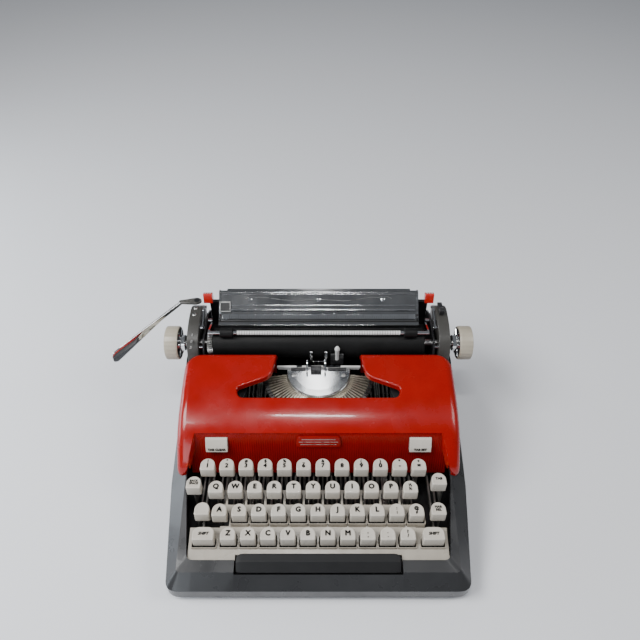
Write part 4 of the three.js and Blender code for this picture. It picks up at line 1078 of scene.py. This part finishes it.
piece("margin_window", pane, BLACK_PLASTIC, "carriage")
wires = Shape()
for side in (-1, 1):
    line = [(side * 2, 180.4), (side * 30, 179.2), (side * 55, 181.6), (side * 78, 182.6), (side * 82, 181.2)]
    wires.add(tube([(x, y, table_z(y) + 0.9) for x, y in rounded(line, 6, 5, closed=False)], 0.35, 8))
piece("paper_support_wires", wires, STEEL, "carriage")
studs = Shape()
for x in (-77, 0, 72):
    y = 180.6
    studs.add(lathe([(2.2, 0), (2.2, 0.7), (1.2, 1.2), (1.1, 2.2), (0.02, 2.3)], "z", (0, 0), 18).moved(
        shift(x, y, table_z(y) + 0.2) @ turn(43, "X")))
piece("paper_table_studs", studs, CHROME, "carriage")

# swinging bail: scaled rod, arms and rollers
BAIL_AT = (134.5, 129.5)
BAIL_PIVOT = (165, 118)
bail = Shape()
bail.add(tube([(-119, *BAIL_AT), (119, *BAIL_AT)], 2, 20))
for side in (-1, 1):
    a, b = sorted((side * 117.2, side * 118.8))
    arm = rounded([(132.4, 127.5), (135.4, 132.1), (166, 121), (164, 115.2)], 2.4, 5)
    bail.add(prism(arm, "x", a, b))
    bail.add(lathe([(2, side * 118), (2, side * 124.2)], "x", BAIL_PIVOT, 20))
piece("bail_frame", bail, CHROME, "bail", replaces=["paper_bail"], angle=40)
band = ring_lathe([(2.02, -88), (2.35, -88), (2.35, 88), (2.02, 88)], "x", BAIL_AT, 20)
piece("bail_scale_band", band, MARK_WHITE, "bail")
bail_ticks = Shape()
for k in range(65):
    x = -88 + 2.75 * k
    bail_ticks.add(prism(circle(2.4, 16, BAIL_AT), "x", x - 0.2, x + 0.2))
piece("bail_ticks", bail_ticks, LEGEND, "bail")
for side, body in ((-1, "roller_left"), (1, "roller_right")):
    t = side * 99
    half_tyre = ((2.4, 7), (4.6, 7), (5.2, 6.4))
    tyre = [(r, t - u) for r, u in half_tyre] + [(r, t + u) for r, u in reversed(half_tyre)]
    roller = ring_lathe(tyre, "x", BAIL_AT, 32)
    piece(f"{body}_tyre", roller, RUBBER, body, replaces=[f"bail_{body}"])

support = block(-104, 104, 190.3, 196.3, 136, 138)
piece("paper_support_bar", support, TABLE_CHROME, "paper_support", bevel=0.6, segments=3,
      replaces=["paper_support"])

# carriage return lever
BEND = Vector((-154, 176))
TIP = Vector((-213, 98))
blade_dir = (TIP - BEND).normalized()
blade_side = Vector((-blade_dir.y, blade_dir.x))
blade_length = (TIP - BEND).length
blade_rings = []
# share of the blade's length, then its lower and upper edge
BLADE_STATIONS = (
    (0.0, 132.3, 136.8), (0.1, 131.8, 136.9), (0.3, 131.2, 136.9), (0.5, 127.8, 136.9), (0.7, 124.2, 136.8),
    (0.86, 121.2, 136.5), (0.95, 119.8, 136.2), (0.985, 121.5, 135), (1.0, 124.5, 132),
)
for t, low, high in BLADE_STATIONS:
    p = BEND + blade_dir * blade_length * t
    thick = 1.3 - 0.5 * t
    ring = []
    for k in range(16):
        angle = 2 * math.pi * k / 16
        u = math.copysign(abs(math.cos(angle)) ** 0.6, math.cos(angle)) * thick
        v = math.copysign(abs(math.sin(angle)) ** 0.6, math.sin(angle))
        ring.append((p.x + blade_side.x * u, p.y + blade_side.y * u, (low + high) / 2 + v * (high - low) / 2))
    blade_rings.append(ring)
piece("return_lever_blade", loft(blade_rings), CHROME, "return_lever", replaces=["return_lever"],
      angle=50)
foot_plan = rounded([(-156, 174.2), (-136, 173), (-131, 176), (-131, 180), (-136, 182.8), (-145, 180.5),
                     (-156, 178)], [1.5, 3, 3, 3, 3, 4, 1.5], 4)
foot = prism(foot_plan, "z", 134, 136.9)
foot.add(lathe([(2, 132.3), (2, 134.2)], "z", (-136, 178), 20))
piece("return_lever_foot", foot, PLATE_GREY, "return_lever", bevel=0.5, replaces=["return_lever"])
screw = lathe([(3.4, 136.6), (3.4, 136.95), (3.2, 137)], "z", (-136, 178), 24)
piece("return_lever_screw", screw, BLACK_METAL, "return_lever")

# margin tabs: red thumb pieces with pale stripes
tab_section = rounded([(180, 130), (188, 130), (189, 139), (182, 142)], [0.6, 0.6, 1.6, 1.6], 5)
for side, body in ((-1, "margin_left"), (1, "margin_right")):
    node = "margin_tab_left" if side < 0 else "margin_tab_right"
    x = side * 124.5
    piece(f"{body}_thumb", prism(tab_section, "x", x - 5, x + 5), TAB_RED, body, bevel=0.5, segments=3,
          replaces=[node])
    stripes = Shape()
    for u in (-3.1, -0.4, 2.3):
        stripe = block(x + u, x + u + 0.8, 183.2, 188, 140.6, 141.0)
        stripes.add(stripe.moved(turn(-23, "X", (0, 185.5, 140.5))))
    piece(f"{body}_stripes", stripes, MARK_WHITE, body)

release = rounded([(158, 133), (176, 133), (176, 136), (166, 137), (160, 142), (156, 141)],
                  [1, 1, 1, 3, 1.2, 1.2], 5)
piece("release_lever", prism(release, "x", 132.5, 137.5), BLACK_PLASTIC, "release", bevel=0.5, segments=3,
      replaces=["carriage_release"])

# ---------- floor and light ----------
floor_mesh = bpy.data.meshes.new("floor")
floor_mesh.from_pydata([(-6, -4, 0), (6, -4, 0), (6, 6, 0), (-6, 6, 0)], [], [(0, 1, 2, 3)])
floor = bpy.data.objects.new("floor", floor_mesh)
bpy.context.scene.collection.objects.link(floor)
floor_finish = bpy.data.materials.new("floor")
floor_finish.use_nodes = True
floor_finish.node_tree.nodes["Principled BSDF"].inputs["Base Color"].default_value = (0.78, 0.79, 0.82, 1)
floor_finish.node_tree.nodes["Principled BSDF"].inputs["Roughness"].default_value = 0.85
floor_mesh.materials.append(floor_finish)


def lamp(name, at_mm, aim_mm, size, watts, color=(1, 1, 1)):
    data = bpy.data.lights.new(name, "AREA")
    data.shape = "RECTANGLE"
    data.size, data.size_y = size
    data.energy = watts
    data.color = color
    made = bpy.data.objects.new(name, data)
    made.location = place(at_mm)
    aim = place(aim_mm) - made.location
    made.rotation_euler = aim.to_track_quat("-Z", "Y").to_euler()
    bpy.context.scene.collection.objects.link(made)
    return made


lamp("key_light", (-900, -250, 1300), (0, 40, 40), (0.8, 0.6), 25)
lamp("streak", (-20, -215, 1300), (0, 45, 100), (0.3, 0.05), 4)
lamp("plate_glow", (-10, 1230, 1500), (0, 90, 100), (0.1, 0.6), 0.9)
lamp("left_strip", (-1000, 150, 230), (-100, 0, 40), (0.9, 0.32), 6, (0.84, 0.92, 1))
lamp("front_strip", (-500, -880, 430), (-120, -90, 30), (0.4, 0.4), 2, (0.86, 0.93, 1))
lamp("fill", (1150, -100, 1200), (0, 40, 60), (0.6, 0.6), 9)

world = bpy.data.worlds.new("studio")
world.use_nodes = True
world.node_tree.nodes["Background"].inputs["Color"].default_value = (0.75, 0.79, 0.85, 1)
world.node_tree.nodes["Background"].inputs["Strength"].default_value = 0.22
bpy.context.scene.world = world
